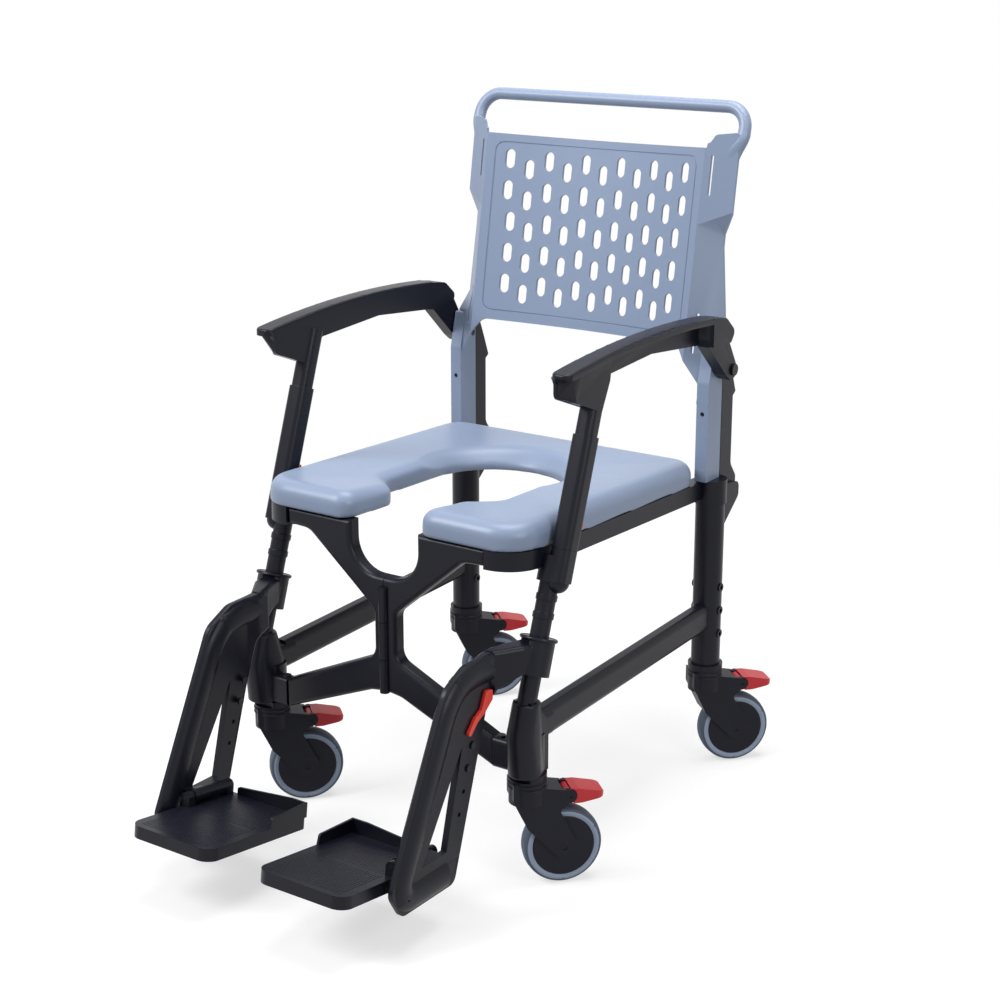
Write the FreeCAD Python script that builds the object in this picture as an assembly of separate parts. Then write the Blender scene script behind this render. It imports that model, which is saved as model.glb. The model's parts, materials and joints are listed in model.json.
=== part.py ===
"""Shower commode chair on four braked casters, in millimetres.

The chair faces -Y, +X is the viewer's right from the front and the floor is z = 0.
The origin lies on the floor, midway between the four caster stems.
Paired pieces are drawn on the +X side and mirrored.
"""
import FreeCAD
import Part
import math
import os

Vector = FreeCAD.Vector
os.makedirs("parts", exist_ok=True)

# Clearances
running_fit = 0.05      # radial play of a pin in its hole
free_gap = 0.4          # flat or curved faces that pass each other
butt_gap = 0.3          # a lifted part over its seat
overcut = 1.0           # how far a cutting tool runs past a face

# Stance
seat_half_w = 255.0
half_track = seat_half_w + 2.0
wheelbase = 554.0
caster_yaw = 42.0
front_stem_y = -wheelbase / 2
rear_stem_y = wheelbase / 2

# Casters
wheel_d = 125.0
wheel_r = wheel_d / 2
tread_w = 32.0
tyre_depth = 13.5
hub_d = wheel_d - 2 * tyre_depth
hub_boss_r = 13.0
hub_dish = 1.0
caster_trail = 54.0
caster_crown = 53.0     # from the tyre's top to the caster's top
caster_height = wheel_d + caster_crown
fork_top_z = caster_height - free_gap
stem_d = 22.0
stem_hole_d = stem_d + 2 * running_fit
stem_length = 58.0
fork_head_d = 58.0
fork_w = 46.0
fork_leg_r = 13.0
wheel_slot_w = 35.0
wheel_slot_gap = 3.5
axle_d = 8.0
pedal_pin_d = 6.0
pedal_pin_y = 62.0
pedal_pin_drop = 30.0
pedal_end_r = 11.0
pedal_w = 42.0
pedal_length = 56.0
pedal_corner_r = 13.0
tongue_w = 29.0

# Seat
seat_rise = 356.0       # seat's front edge over the caster tops
seat_front_z = caster_height + seat_rise
seat_front_y = front_stem_y - 26.0
seat_rear_y = rear_stem_y - 37.0
seat_thickness = 42.0
seat_edge_r = 24.0
seat_tilt = 1.7
seat_front_corner_r = 60.0
seat_rear_corner_r = 40.0
mouth_half_w = 66.0
mouth_corner_r = 30.0
opening_half_w = 112.0
opening_rear_y = seat_rear_y - 122.0
opening_neck_y = seat_front_y + 115.0
opening_neck_run = 40.0
funnel_flare = 30.0
funnel_drop = 34.0

# Seat rails
rail_h = 30.0
rail_w = 26.0
rail_inset = 1.0
rail_front_inset = 3.0
rail_corner_r = 58.0

# Rear legs
rear_leg_d = 50.0
leg_cap_d = 55.0
leg_cap_h = 42.0
collar_d = 60.0
collar_h = 9.0
adjust_hole_d = 8.0
adjust_rim_d = 15.0
adjust_rim_h = 2.0
adjust_first_z = caster_height + 66.0
adjust_pitch = 42.0
adjust_count = 3
rear_leg_top_z = seat_front_z - 14.0
ear_pin_y = rear_stem_y + 61.0
ear_pin_z = seat_front_z - 48.0
ear_pin_d = 8.0
ear_r = 14.0
ear_plate_w = 6.0
ear_slot_w = 16.0

# Leaning front legs and the armrest posts above them
lean = 19.0
lean_tan = math.tan(math.radians(lean))
lean_y = front_stem_y + 51.0
lean_z = seat_front_z - 52.0
post_w = 34.0
post_d = 36.0
post_corner_r = 11.0
post_step = 4.0
post_side_gap = 5.0
post_x = seat_half_w + post_side_gap + post_w / 2
front_leg_x = post_x - 15.0
front_leg_d = 30.0
front_leg_bottom_z = caster_height + 80.0
front_leg_top_z = seat_front_z - 22.0
leg_band_d = 33.0
leg_band_h = 9.0
leg_band_drops = (74.0, 100.0)
leg_socket_d = 41.0
post_foot_z = seat_front_z - 7.0
post_step_z = seat_front_z + 156.0
post_top_z = seat_front_z + 249.0
cup_length = 50.0

# Front feet and lower side rails
foot_d = 52.0
foot_top_z = caster_height + 72.0
foot_web_w = 34.0
sleeve_h = 54.0
sleeve_flare = 17.0
lug_x = half_track - 51.0
lug_h = 49.0
lug_corner_r = 7.0
lower_rail_w = 28.0
lower_rail_h = 34.0
lower_rail_r = 9.0
lower_rail_z = caster_height + 77.0
rail_socket_wall = 3.0
rail_socket_length = 46.0

# Front panel halves, hinged together on the middle plane
panel_front_y = front_stem_y - 21.0
panel_depth = 26.0
panel_split = 0.5
panel_end_x = lug_x - 14.0
panel_waist = 21.0
panel_edge_r = 8.0
panel_back_r = 4.0
notch_drop = 82.0
upper_arm_h = 27.0
upper_arm_run = 42.0
waist_top_drop = 138.0
waist_bottom_drop = 215.0
lower_arm_rise = 58.0
hinge_top_z = seat_front_z - 97.0
hinge_bottom_z = caster_height + 84.0
knuckle_d = 16.0
hinge_pin_d = 6.0

# Armrests, placed from their posts and from the pivots at the backrest's legs
arm_inner_x = post_x - 10.0
arm_outer_x = post_x + 24.0
arm_skirt_w = 6.0
arm_plate_h = 11.0
arm_edge_r = 4.0
arm_tip_r = 13.0
arm_tip_reach = 119.0
arm_front_rise = 17.0
arm_crown_rise = 19.0
arm_rear_rise = 14.0
arm_pivot_y = rear_stem_y + 6.0
arm_pivot_z = seat_front_z + 177.0
arm_pivot_d = 12.0
arm_pivot_boss_r = 17.0
arm_pivot_head_d = 20.0
arm_pivot_head_h = 4.0
arm_link_w = 22.0
button_w = 10.0
button_h = 12.0
button_stand = 6.0
button_depth = 9.0
button_travel = 3.0
button_z = seat_front_z + 21.0

# Backrest, drawn upright about its middle line and then leaned back
recline_slope = 0.1586
back_centre_y = rear_stem_y + 19.4
back_centre_z = seat_front_z + 273.0
back_sheet = 5.5
wing_half_w = arm_inner_x - 2.0
wing_w = 48.0
back_half_w = wing_half_w - wing_w
back_sag = 44.0
wing_return = 27.0
wing_notch = 15.0
wing_notch_top = 157.0
wing_notch_low = 119.0
wing_notch_run = 20.0
back_top_z = back_centre_z + 267.0
back_bottom_z = back_centre_z - 61.0
back_top_lip = 22.0
back_leg_w = 22.0
back_leg_inner_x = wing_half_w - back_leg_w
back_leg_front_y = rear_stem_y - 33.0
back_leg_depth = 46.0
back_leg_bottom_z = rear_leg_top_z
back_leg_knee_z = seat_front_z + 156.0
back_leg_top_z = back_bottom_z + 6.0
back_screw_d = 8.0
back_screw_z = seat_front_z + 103.0
screw_sink = 3.0
handle_d = 21.0
handle_bar_y = back_centre_y + 55.6
handle_rise = 59.0
handle_bar_z = back_top_z + handle_rise
handle_corner_r = 38.0
handle_foot_drop = 26.0
cheek_half_w = 18.0
cheek_half_t = 7.0
handle_tube_end = 0.55  # share of the way to the wing where the tube gives way to a cheek
slot_h = 33.4
slot_w = 17.0
slot_columns = 11
slot_rows = 5
slot_top_z = back_top_z - 49.5
slot_row_pitch = 54.4
slot_pitch_upper = 35.1
slot_pitch_lower = 33.4
slot_stagger = 16.2
wide_slot_rows = 2
wing_slot_x = back_half_w + 12.0
wing_slot_w = 4.0
wing_slot_h = 66.0
wing_slot_tops = (back_top_z - 18.0, back_bottom_z + 50.0)

# Black posts behind the backrest legs
back_post_w = 15.0
back_post_front_y = rear_stem_y + 15.0
back_post_rear_y = rear_stem_y + 55.0
back_post_top_z = arm_pivot_z + 27.0
back_post_step_z = back_post_top_z - 84.0

# Swing-away hangers
hanger_inner_x = front_leg_x - 46.0
hanger_w = 24.0
hanger_pocket = 7.0
hanger_outer_x = hanger_inner_x + hanger_w
hanger_floor_x = hanger_outer_x - hanger_pocket
hanger_ring_d = 52.0
hanger_ring_bottom_z = caster_height + 166.0
hanger_ring_top_z = caster_height + 220.0
hanger_edge_r = 8.0
hanger_seam_z = caster_height + 27.0
shoulder_corner_r = 8.0
drop_mid_x = (hanger_inner_x + hanger_floor_x) / 2
drop_tongue_w = 8.0
drop_tongue_half_h = 13.0
drop_tongue_over = 18.0
drop_tongue_under = 20.0
drop_bolt_d = 7.0
drop_bolt_head_d = 12.0
drop_bolt_head_h = 3.0
drop_hole_pitch = 33.0
drop_bolt_y = front_stem_y - 110.0
drop_bolt_z = caster_height + 85.0
drop_bolts = 2
drop_holes = 4
lever_t = 5.0
lever_pin_d = 6.0
lever_pin_depth = 8.0
lever_pin_y = front_stem_y - 73.0
lever_pin_z = caster_height + 152.0

# Footplates
plate_inner_x = hanger_inner_x - 171.0
plate_outer_x = hanger_inner_x - 8.0
plate_front_y = front_stem_y - 386.0
plate_rear_y = front_stem_y - 165.0
plate_front_r = 22.0
plate_t = 20.0
plate_wall = 4.0
plate_rim_h = 22.0
plate_rim_slope = 10.0
plate_step_y = front_stem_y - 246.0
plate_pitch = 8.0
plate_rear_z = caster_height - 85.0
plate_hinge_x = hanger_inner_x - 14.0
plate_hinge_rise = 14.0
plate_barrel_d = 22.0
plate_rod_d = 7.0
barrel_front_y = front_stem_y - 258.0
barrel_rear_y = front_stem_y - 185.0
plate_lug_w = 14.0

nodes = {}


def box(x0, x1, y0, y1, z0, z1):
    """Block between two corners."""
    return Part.makeBox(x1 - x0, y1 - y0, z1 - z0, Vector(x0, y0, z0))


def rod(start, end, diameter):
    """Cylinder from one point to another."""
    axis = end - start
    return Part.makeCylinder(diameter / 2, axis.Length, start, axis)


def rod_x(x0, x1, y, z, diameter):
    """Cylinder along X."""
    return rod(Vector(x0, y, z), Vector(x1, y, z), diameter)


def lean_point(x, z):
    """Point at height z on a line that leans like the front legs."""
    return Vector(x, lean_y + (z - lean_z) * lean_tan, z)


def leaning_rod(x, z0, z1, diameter):
    """Cylinder along the front legs' lean."""
    return rod(lean_point(x, z0), lean_point(x, z1), diameter)


def leaning_bar(x, z0, z1, width, depth, radius):
    """Bar of rounded rectangular section along the front legs' lean."""
    start = lean_point(x, z0)
    axis = lean_point(x, z1) - start
    across = axis.cross(Vector(1, 0, 0)).normalize()
    corners = block_corners(-width / 2, width / 2, -depth / 2, depth / 2, radius)
    wire = outline(corners, lambda p: start + Vector(p.x, 0, 0) + across * p.y)
    return Part.Face(wire).extrude(axis)


def back_y(z):
    """Depth of the reclined backrest's middle at height z."""
    return back_centre_y + (z - back_centre_z) * recline_slope


def outline(corners, place):
    """Closed wire through corners (a, b, radius), each rounded as far as its two sides allow."""
    flat = [Vector(a, b, 0) for a, b, radius in corners]
    turns = []
    for i, (a, b, radius) in enumerate(corners):
        before = flat[i - 1] - flat[i]
        after = flat[(i + 1) % len(flat)] - flat[i]
        half_turn = before.getAngle(after) / 2
        turns.append((before, after, half_turn, radius / math.tan(half_turn)))
    runs = []
    for i, (before, after, half_turn, wanted) in enumerate(turns):
        room_before = before.Length - turns[i - 1][3]
        room_after = after.Length - turns[(i + 1) % len(turns)][3]
        reach = max(0.0, min(wanted, room_before, room_after))
        radius = reach * math.tan(half_turn)
        before = Vector(before).normalize()
        after = Vector(after).normalize()
        middle = flat[i] + (before + after).normalize() * (radius / math.sin(half_turn) - radius)
        runs.append((flat[i] + before * reach, middle, flat[i] + after * reach, reach))
    edges = []
    for i, (start, middle, end, reach) in enumerate(runs):
        last = runs[i - 1][2]
        if (start - last).Length > 1e-6:
            edges.append(Part.makeLine(place(last), place(start)))
        if reach > 1e-6:
            edges.append(Part.Arc(place(start), place(middle), place(end)).toShape())
    return Part.Wire(edges)


def prism_x(corners, x0, x1):
    """Outline in (y, z) carried along X."""
    wire = outline(corners, lambda p: Vector(x0, p.x, p.y))
    return Part.Face(wire).extrude(Vector(x1 - x0, 0, 0))


def prism_y(corners, y0, y1):
    """Outline in (x, z) carried along Y."""
    wire = outline(corners, lambda p: Vector(p.x, y0, p.y))
    return Part.Face(wire).extrude(Vector(0, y1 - y0, 0))


def prism_z(corners, z0, z1):
    """Outline in (x, y) carried along Z."""
    wire = outline(corners, lambda p: Vector(p.x, p.y, z0))
    return Part.Face(wire).extrude(Vector(0, 0, z1 - z0))


def block_corners(a0, a1, b0, b1, radius):
    """Rounded rectangle for a prism."""
    return [(a0, b0, radius), (a1, b0, radius), (a1, b1, radius), (a0, b1, radius)]


def fused(pieces):
    """One solid from overlapping pieces."""
    return pieces[0].fuse(pieces[1:]).removeSplitter()


def edges_on(shape, axis, value):
    """Edges that lie wholly on the plane axis = value."""
    found = []
    for edge in shape.Edges:
        bound = edge.BoundBox
        low = getattr(bound, axis + "Min")
        high = getattr(bound, axis + "Max")
        if abs(low - value) < 1e-4 and abs(high - value) < 1e-4:
            found.append(edge)
    return found


def tilted(shape):
    """Turn a piece drawn level into the seat's slope about its front edge."""
    turned = shape.copy()
    turned.rotate(Vector(0, seat_front_y, seat_front_z), Vector(1, 0, 0), -seat_tilt)
    return turned


def mirrored(shape):
    """The same piece on the -X side."""
    return shape.mirror(Vector(0, 0, 0), Vector(1, 0, 0))


def add(name, shape):
    """Keep a finished piece under its node name."""
    nodes[name] = shape


def add_pair(name, shape):
    """Keep a right-hand piece and its mirrored twin."""
    add(name + "_right", shape)
    add(name + "_left", mirrored(shape))


# Casters, drawn with the stem on the Z axis and the wheel trailing along +Y
pedal_pin_z = fork_top_z - pedal_pin_drop


def caster_fork():
    """Swivel head with stem, arm for the pedal and two legs to the axle."""
    head_y = -fork_head_d / 2 + 2
    side = prism_x([
        (head_y, fork_top_z - 4, 0),
        (pedal_pin_y - 6, pedal_pin_z + pedal_end_r, 0),
        (pedal_pin_y, pedal_pin_z - pedal_end_r + 1, 0),
        (caster_trail - 8, wheel_d, 6),
        (caster_trail + 24, wheel_r, fork_leg_r),
        (caster_trail - 4, wheel_r - 21, fork_leg_r),
        (-4, wheel_r + 36, 10),
        (head_y, wheel_r + 84, 12)], -fork_w / 2, fork_w / 2)
    head_bottom = wheel_d + wheel_slot_gap + 9
    head = rod(Vector(0, 0, head_bottom), Vector(0, 0, fork_top_z), fork_head_d)
    stem = rod(Vector(0, 0, fork_top_z - overcut), Vector(0, 0, fork_top_z + stem_length), stem_d)
    arm_end = rod_x(-fork_w / 2, fork_w / 2, pedal_pin_y, pedal_pin_z, 2 * pedal_end_r)
    fork = fused([side, head, stem, arm_end])
    slot_r = wheel_r + wheel_slot_gap
    wheel_slot = rod_x(-wheel_slot_w / 2, wheel_slot_w / 2, caster_trail, wheel_r, 2 * slot_r)
    half_tongue = tongue_w / 2 + free_gap
    tongue_slot = box(-half_tongue, half_tongue, pedal_pin_y - pedal_end_r, pedal_pin_y + 2 * pedal_end_r,
                      pedal_pin_z - pedal_end_r - 2, fork_top_z + overcut)
    pin_hole = rod_x(-fork_w, fork_w, pedal_pin_y, pedal_pin_z, pedal_pin_d + 2 * running_fit)
    axle_hole = rod_x(-fork_w, fork_w, caster_trail, wheel_r, axle_d)
    return fork.cut([wheel_slot, tongue_slot, pin_hole, axle_hole])


def caster_pedal():
    """Brake paddle with its tongue and pivot pin."""
    tip_y = pedal_pin_y + pedal_length
    low_z = pedal_pin_z - pedal_end_r - 2
    paddle = prism_x([
        (pedal_pin_y + 2, pedal_pin_z + pedal_end_r + 0.4, 0),
        (pedal_pin_y + 14, pedal_pin_z + pedal_end_r, 12),
        (tip_y, pedal_pin_z + 2, 4),
        (tip_y - 2, pedal_pin_z - 7, 4),
        (pedal_pin_y + 20, low_z, 6),
        (pedal_pin_y + 6, low_z, 0)], -pedal_w / 2, pedal_w / 2)
    plan = block_corners(-pedal_w / 2, pedal_w / 2, pedal_pin_y - pedal_w, tip_y, pedal_corner_r)
    paddle = paddle.common(prism_z(plan, 0, fork_top_z + overcut))
    paddle = paddle.cut(rod_x(-pedal_w, pedal_w, pedal_pin_y, pedal_pin_z, 2 * (pedal_end_r + free_gap)))
    tongue_half_h = pedal_end_r - 5
    tongue = box(-tongue_w / 2, tongue_w / 2, pedal_pin_y, pedal_pin_y + pedal_end_r + 4,
                 pedal_pin_z - tongue_half_h, pedal_pin_z + tongue_half_h)
    eye = rod_x(-tongue_w / 2, tongue_w / 2, pedal_pin_y, pedal_pin_z, 2 * (pedal_end_r - 2))
    pin = rod_x(-fork_w / 2 + 1, fork_w / 2 - 1, pedal_pin_y, pedal_pin_z, pedal_pin_d)
    return fused([paddle, tongue, eye, pin])


def caster_axle():
    """Plain axle pressed into the fork's legs."""
    half = fork_w / 2 - 1
    return rod_x(-half, half, caster_trail, wheel_r, axle_d)


def turned_on_axle(corners):
    """Ring turned about the axle from an outline in (x, radius)."""
    wire = outline(corners, lambda p: Vector(p.x, caster_trail, wheel_r + p.y))
    axle = Vector(0, caster_trail, wheel_r)
    return Part.Face(wire).revolve(axle, Vector(1, 0, 0), 360)


def caster_hub():
    """Flush wheel disc with a shallow dish round its boss."""
    half = tread_w / 2 + 0.5
    floor = half - hub_dish
    bore = axle_d / 2 + running_fit
    rim = hub_d / 2
    return turned_on_axle([
        (-half, bore, 0), (half, bore, 0), (half, hub_boss_r, 0), (floor, hub_boss_r + 2, 0),
        (floor, rim - 3, 0), (floor - 1.5, rim, 0), (-floor + 1.5, rim, 0), (-floor, rim - 3, 0),
        (-floor, hub_boss_r + 2, 0), (-half, hub_boss_r, 0)])


def caster_tyre():
    """Rubber tyre with a rounded tread and a flat side ring."""
    half = tread_w / 2
    rim = hub_d / 2
    side_r = rim + tyre_depth / 3
    shoulder_r = wheel_r - 1.5
    return turned_on_axle([
        (-half + 2, rim, 0), (half - 2, rim, 0), (half - 0.5, side_r, 1.5),
        (half - 2, shoulder_r, 6), (0, wheel_r, 20), (-half + 2, shoulder_r, 6),
        (-half + 0.5, side_r, 1.5)])


def placed_caster(shape, x, y):
    """Swing a caster piece to its yaw and set it under a leg."""
    piece = shape.copy()
    piece.rotate(Vector(0, 0, 0), Vector(0, 0, 1), -caster_yaw)
    piece.translate(Vector(x, y, 0))
    return piece


stems = {
    "front_left": (-half_track, front_stem_y),
    "front_right": (half_track, front_stem_y),
    "rear_left": (-half_track, rear_stem_y),
    "rear_right": (half_track, rear_stem_y)}
caster_pieces = {
    "caster_fork": caster_fork(),
    "wheel_axle": caster_axle(),
    "wheel_hub": caster_hub(),
    "tyre": caster_tyre(),
    "brake_pedal": caster_pedal()}
for corner, (stem_x, stem_y) in stems.items():
    for piece_name, piece_shape in caster_pieces.items():
        add(piece_name + "_" + corner, placed_caster(piece_shape, stem_x, stem_y))


def stem_socket(y):
    """Hole that takes a caster stem."""
    top = fork_top_z + stem_length + 2
    return rod(Vector(half_track, y, caster_height - overcut), Vector(half_track, y, top), stem_hole_d)


# Rear legs
def rear_leg():
    """Upright leg with collar, height holes and the ear for the back post."""
    foot = Vector(half_track, rear_stem_y, caster_height)
    top = Vector(half_track, rear_stem_y, rear_leg_top_z)
    leg = rod(foot, top, rear_leg_d)
    collar = Part.makeCylinder(collar_d / 2, collar_h, foot)
    cap = rod(top - Vector(0, 0, leg_cap_h), top, leg_cap_d)
    ear_half = ear_slot_w / 2 + ear_plate_w
    ear_low_z = ear_pin_z - 4 * ear_r
    ear = prism_x([
        (rear_stem_y, ear_low_z, 0), (rear_stem_y + rear_leg_d / 2 - 3, ear_low_z, 6),
        (ear_pin_y + ear_r, ear_pin_z - ear_r + 2, ear_r - 2),
        (ear_pin_y + ear_r, ear_pin_z + ear_r, ear_r - 2),
        (rear_stem_y, ear_pin_z + ear_r + 8, 0)], half_track - ear_half, half_track + ear_half)
    rims = []
    holes = []
    for i in range(adjust_count):
        z = adjust_first_z + i * adjust_pitch
        reach = rear_leg_d / 2 + adjust_rim_h
        rims.append(rod_x(half_track - reach, half_track + reach, rear_stem_y, z, adjust_rim_d))
        holes.append(rod_x(half_track - collar_d, half_track + collar_d, rear_stem_y, z, adjust_hole_d))
    whole = fused([leg, collar, cap, ear] + rims)
    ear_slot = box(half_track - ear_slot_w / 2, half_track + ear_slot_w / 2,
                   rear_stem_y + leg_cap_d / 2 + 1.5, ear_pin_y + 2 * ear_r, ear_low_z - ear_r, rear_leg_top_z)
    ear_hole = rod_x(half_track - collar_d, half_track + collar_d, ear_pin_y, ear_pin_z, ear_pin_d)
    return whole.cut(holes + [ear_slot, ear_hole, stem_socket(rear_stem_y)])


rear_leg_right = rear_leg()
add_pair("rear_leg", rear_leg_right)


# Leaning front legs with two raised bands
def front_leg():
    """Tube along the lean, with bands between the seat rail and the hanger."""
    pieces = [leaning_rod(front_leg_x, front_leg_bottom_z, front_leg_top_z, front_leg_d)]
    for drop in leg_band_drops:
        top = seat_front_z - drop
        pieces.append(leaning_rod(front_leg_x, top - leg_band_h, top, leg_band_d))
    return fused(pieces)


front_leg_right = front_leg()
add_pair("front_leg", front_leg_right)


# Seat rails, with the front corner, the leg socket and the cup for the armrest post
def seat_rail():
    """Side rail that turns in at the front corner."""
    outer = seat_half_w - rail_inset
    inner = outer - rail_w
    front = seat_front_y + rail_front_inset
    plan = [
        (outer, rear_stem_y, 0), (outer, front, rail_corner_r), (panel_end_x, front, 0),
        (panel_end_x, front + rail_w, 0), (inner, front + rail_w, rail_corner_r - rail_w),
        (inner, rear_stem_y, 0)]
    rail = tilted(prism_z(plan, seat_front_z - rail_h, seat_front_z))
    cup_bottom = post_foot_z - cup_length * math.cos(math.radians(lean))
    cup = leaning_bar(post_x, cup_bottom, post_foot_z, post_w, post_d, post_corner_r)
    cup_tip = Part.makeSphere(post_w / 2, lean_point(post_x, cup_bottom))
    socket = leaning_rod(front_leg_x, lean_z - 4, front_leg_top_z + 4, leg_socket_d)
    cup_y = lean_point(post_x, post_foot_z - cup_length / 2).y
    web_half = post_d / 2 - 4
    web = box(inner, post_x, cup_y - web_half, cup_y + web_half, seat_front_z - rail_h - 8, post_foot_z - 14)
    under_seat = tilted(box(-post_x, seat_half_w + 2, seat_front_y - rail_corner_r, seat_rear_y + rail_corner_r,
                            seat_front_z, seat_front_z + 4 * seat_thickness))
    whole = fused([rail, socket, web]).cut(under_seat)
    whole = fused([whole, cup, cup_tip])
    above_cup = leaning_rod(post_x, post_foot_z, post_top_z, 2 * post_d)
    return whole.cut([above_cup, front_leg_right, rear_leg_right])


seat_rail_right = seat_rail()
add_pair("seat_rail", seat_rail_right)


# Front feet
def front_foot():
    """Casting that joins leg, caster stem, lower rail and front panel."""
    base = Vector(half_track, front_stem_y, caster_height)
    bottom_z = caster_height + collar_h
    column = Part.makeCylinder(foot_d / 2, foot_top_z - caster_height, base)
    collar = Part.makeCylinder(collar_d / 2, collar_h, base)
    low = lean_point(front_leg_x, bottom_z)
    high = lean_point(front_leg_x, front_leg_bottom_z + sleeve_h - 8)
    axis = high - low
    sleeve = Part.makeCone((leg_socket_d + sleeve_flare) / 2, leg_socket_d / 2, axis.Length, low, axis)
    web_front = lean_point(0, front_leg_bottom_z).y - 14
    web = prism_x([
        (web_front + 18, bottom_z, 8), (front_stem_y + foot_d / 2 - 2, bottom_z, 0),
        (front_stem_y + foot_d / 2 - 2, foot_top_z + 14, 10), (front_stem_y + 2, front_leg_bottom_z + 36, 8),
        (web_front, front_leg_bottom_z + 10, 10)], front_leg_x - foot_web_w / 2, front_leg_x + foot_web_w / 2)
    lug_side = block_corners(panel_front_y, panel_front_y + panel_depth,
                             bottom_z, bottom_z + lug_h, lug_corner_r)
    lug = prism_x(lug_side, lug_x, half_track)
    rail_half_w = lower_rail_w / 2 + rail_socket_wall
    rail_half_h = lower_rail_h / 2 + rail_socket_wall
    socket = block_corners(half_track - rail_half_w, half_track + rail_half_w, lower_rail_z - rail_half_h,
                           lower_rail_z + rail_half_h, lower_rail_r)
    rail_socket = prism_y(socket, front_stem_y, front_stem_y + rail_socket_length)
    whole = fused([column, collar, sleeve, web, lug, rail_socket])
    below = box(0, 2 * half_track, plate_front_y, 0, 0, caster_height)
    rail_hole = lower_rail_bar(front_stem_y + foot_d / 2, rear_stem_y)
    return whole.cut([below, front_leg_right, stem_socket(front_stem_y), rail_hole])


def lower_rail_bar(y0, y1):
    """Rounded bar between the front foot and the rear leg."""
    half_w = lower_rail_w / 2
    half_h = lower_rail_h / 2
    section = block_corners(half_track - half_w, half_track + half_w,
                            lower_rail_z - half_h, lower_rail_z + half_h, lower_rail_r)
    return prism_y(section, y0, y1)


add_pair("front_foot", front_foot())
lower_rail = lower_rail_bar(front_stem_y + foot_d / 2, rear_stem_y).cut(rear_leg_right)
lower_rail = max(lower_rail.Solids, key=lambda solid: solid.Volume)
add_pair("lower_rail", lower_rail)


# Front panel halves with interleaved hinge knuckles
def front_panel():
    """K-shaped half: upper arm, waist and lower arm, with rolled edges."""
    top_z = seat_front_z - 1
    notch_z = seat_front_z - notch_drop
    side_x = mouth_half_w - 1
    arm_low_z = top_z - upper_arm_h
    side = [
        (panel_split, notch_z, 0), (side_x, notch_z, 0.8 * side_x), (side_x, top_z, 0),
        (panel_end_x, top_z, 0), (panel_end_x, arm_low_z, 0), (panel_end_x - upper_arm_run, arm_low_z - 2, 30),
        (panel_waist, seat_front_z - waist_top_drop, 18), (panel_waist, seat_front_z - waist_bottom_drop, 24),
        (lug_x, caster_height + lower_arm_rise, 0), (lug_x, caster_height + collar_h, 0),
        (panel_waist + 9, hinge_bottom_z - 4, 30), (panel_split, hinge_bottom_z, 0)]
    rear_y = panel_front_y + panel_depth
    panel = prism_y(side, panel_front_y, rear_y)
    front_rim = [edge for edge in edges_on(panel, "Y", panel_front_y) if edge.BoundBox.XMax > panel_split + 1]
    panel = panel.makeFillet(panel_edge_r, front_rim)
    return panel.makeFillet(panel_back_r, edges_on(panel, "Y", rear_y))


def knuckle(share_low, share_high, diameter):
    """Hinge knuckle over a share of the hinge's height."""
    height = hinge_top_z - hinge_bottom_z
    low = Vector(0, panel_front_y, hinge_bottom_z + height * share_low)
    high = Vector(0, panel_front_y, hinge_bottom_z + height * share_high)
    return rod(low, high, diameter)


hinge_pin = knuckle(0, 1, hinge_pin_d)
end_knuckles = [knuckle(0, 0.32, knuckle_d), knuckle(0.68, 1, knuckle_d)]
middle_knuckle = knuckle(0.325, 0.675, knuckle_d)
room_for_ends = [knuckle(-0.002, 0.322, knuckle_d + 1), knuckle(0.678, 1.002, knuckle_d + 1)]
room_for_middle = knuckle(0.322, 0.678, knuckle_d + 1)
panel_right = front_panel()
panel_left = mirrored(panel_right)
panel_right = fused([panel_right.cut(room_for_ends), middle_knuckle]).cut(hinge_pin)
panel_left = fused([panel_left.cut(room_for_middle)] + end_knuckles).cut(hinge_pin)
add("front_panel_right", panel_right)
add("front_panel_left", panel_left)
add("front_hinge_pin", hinge_pin)


# Seat
def seat():
    """Horseshoe moulding, open at the front, with rolled edges and a funnel round the opening."""
    rear_r = opening_half_w - 4
    neck_end_y = opening_neck_y + opening_neck_run
    right = [
        (seat_half_w, seat_rear_y, seat_rear_corner_r), (seat_half_w, seat_front_y, seat_front_corner_r),
        (mouth_half_w, seat_front_y, mouth_corner_r), (mouth_half_w, opening_neck_y, mouth_corner_r),
        (opening_half_w, neck_end_y, mouth_corner_r), (opening_half_w, opening_rear_y, rear_r)]
    left = [(-x, y, radius) for x, y, radius in reversed(right)]
    top_z = seat_front_z + seat_thickness
    blank = prism_z(right + left, seat_front_z, top_z)
    low_r = rear_r - 2
    funnel = Part.makeCone(low_r, low_r + funnel_flare, funnel_drop,
                           Vector(0, opening_rear_y - rear_r, top_z - funnel_drop))
    blank = blank.cut(funnel)
    return tilted(blank.makeFillet(seat_edge_r, edges_on(blank, "Z", top_z)))


add("seat", seat())


# Backrest
def back_slots():
    """Staggered upright slots through the panel."""
    tools = []
    for row in range(slot_rows):
        pitch = slot_pitch_upper if row < wide_slot_rows else slot_pitch_lower
        for column in range(slot_columns):
            x = (column - (slot_columns - 1) / 2) * pitch
            z = slot_top_z - row * slot_row_pitch - (column % 2) * slot_stagger
            tools.append(upright_slot(x, z, slot_w, slot_h))
    for top in wing_slot_tops:
        for side in (-1, 1):
            tools.append(upright_slot(side * wing_slot_x, top - wing_slot_h / 2, wing_slot_w, wing_slot_h))
    return tools


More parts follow.
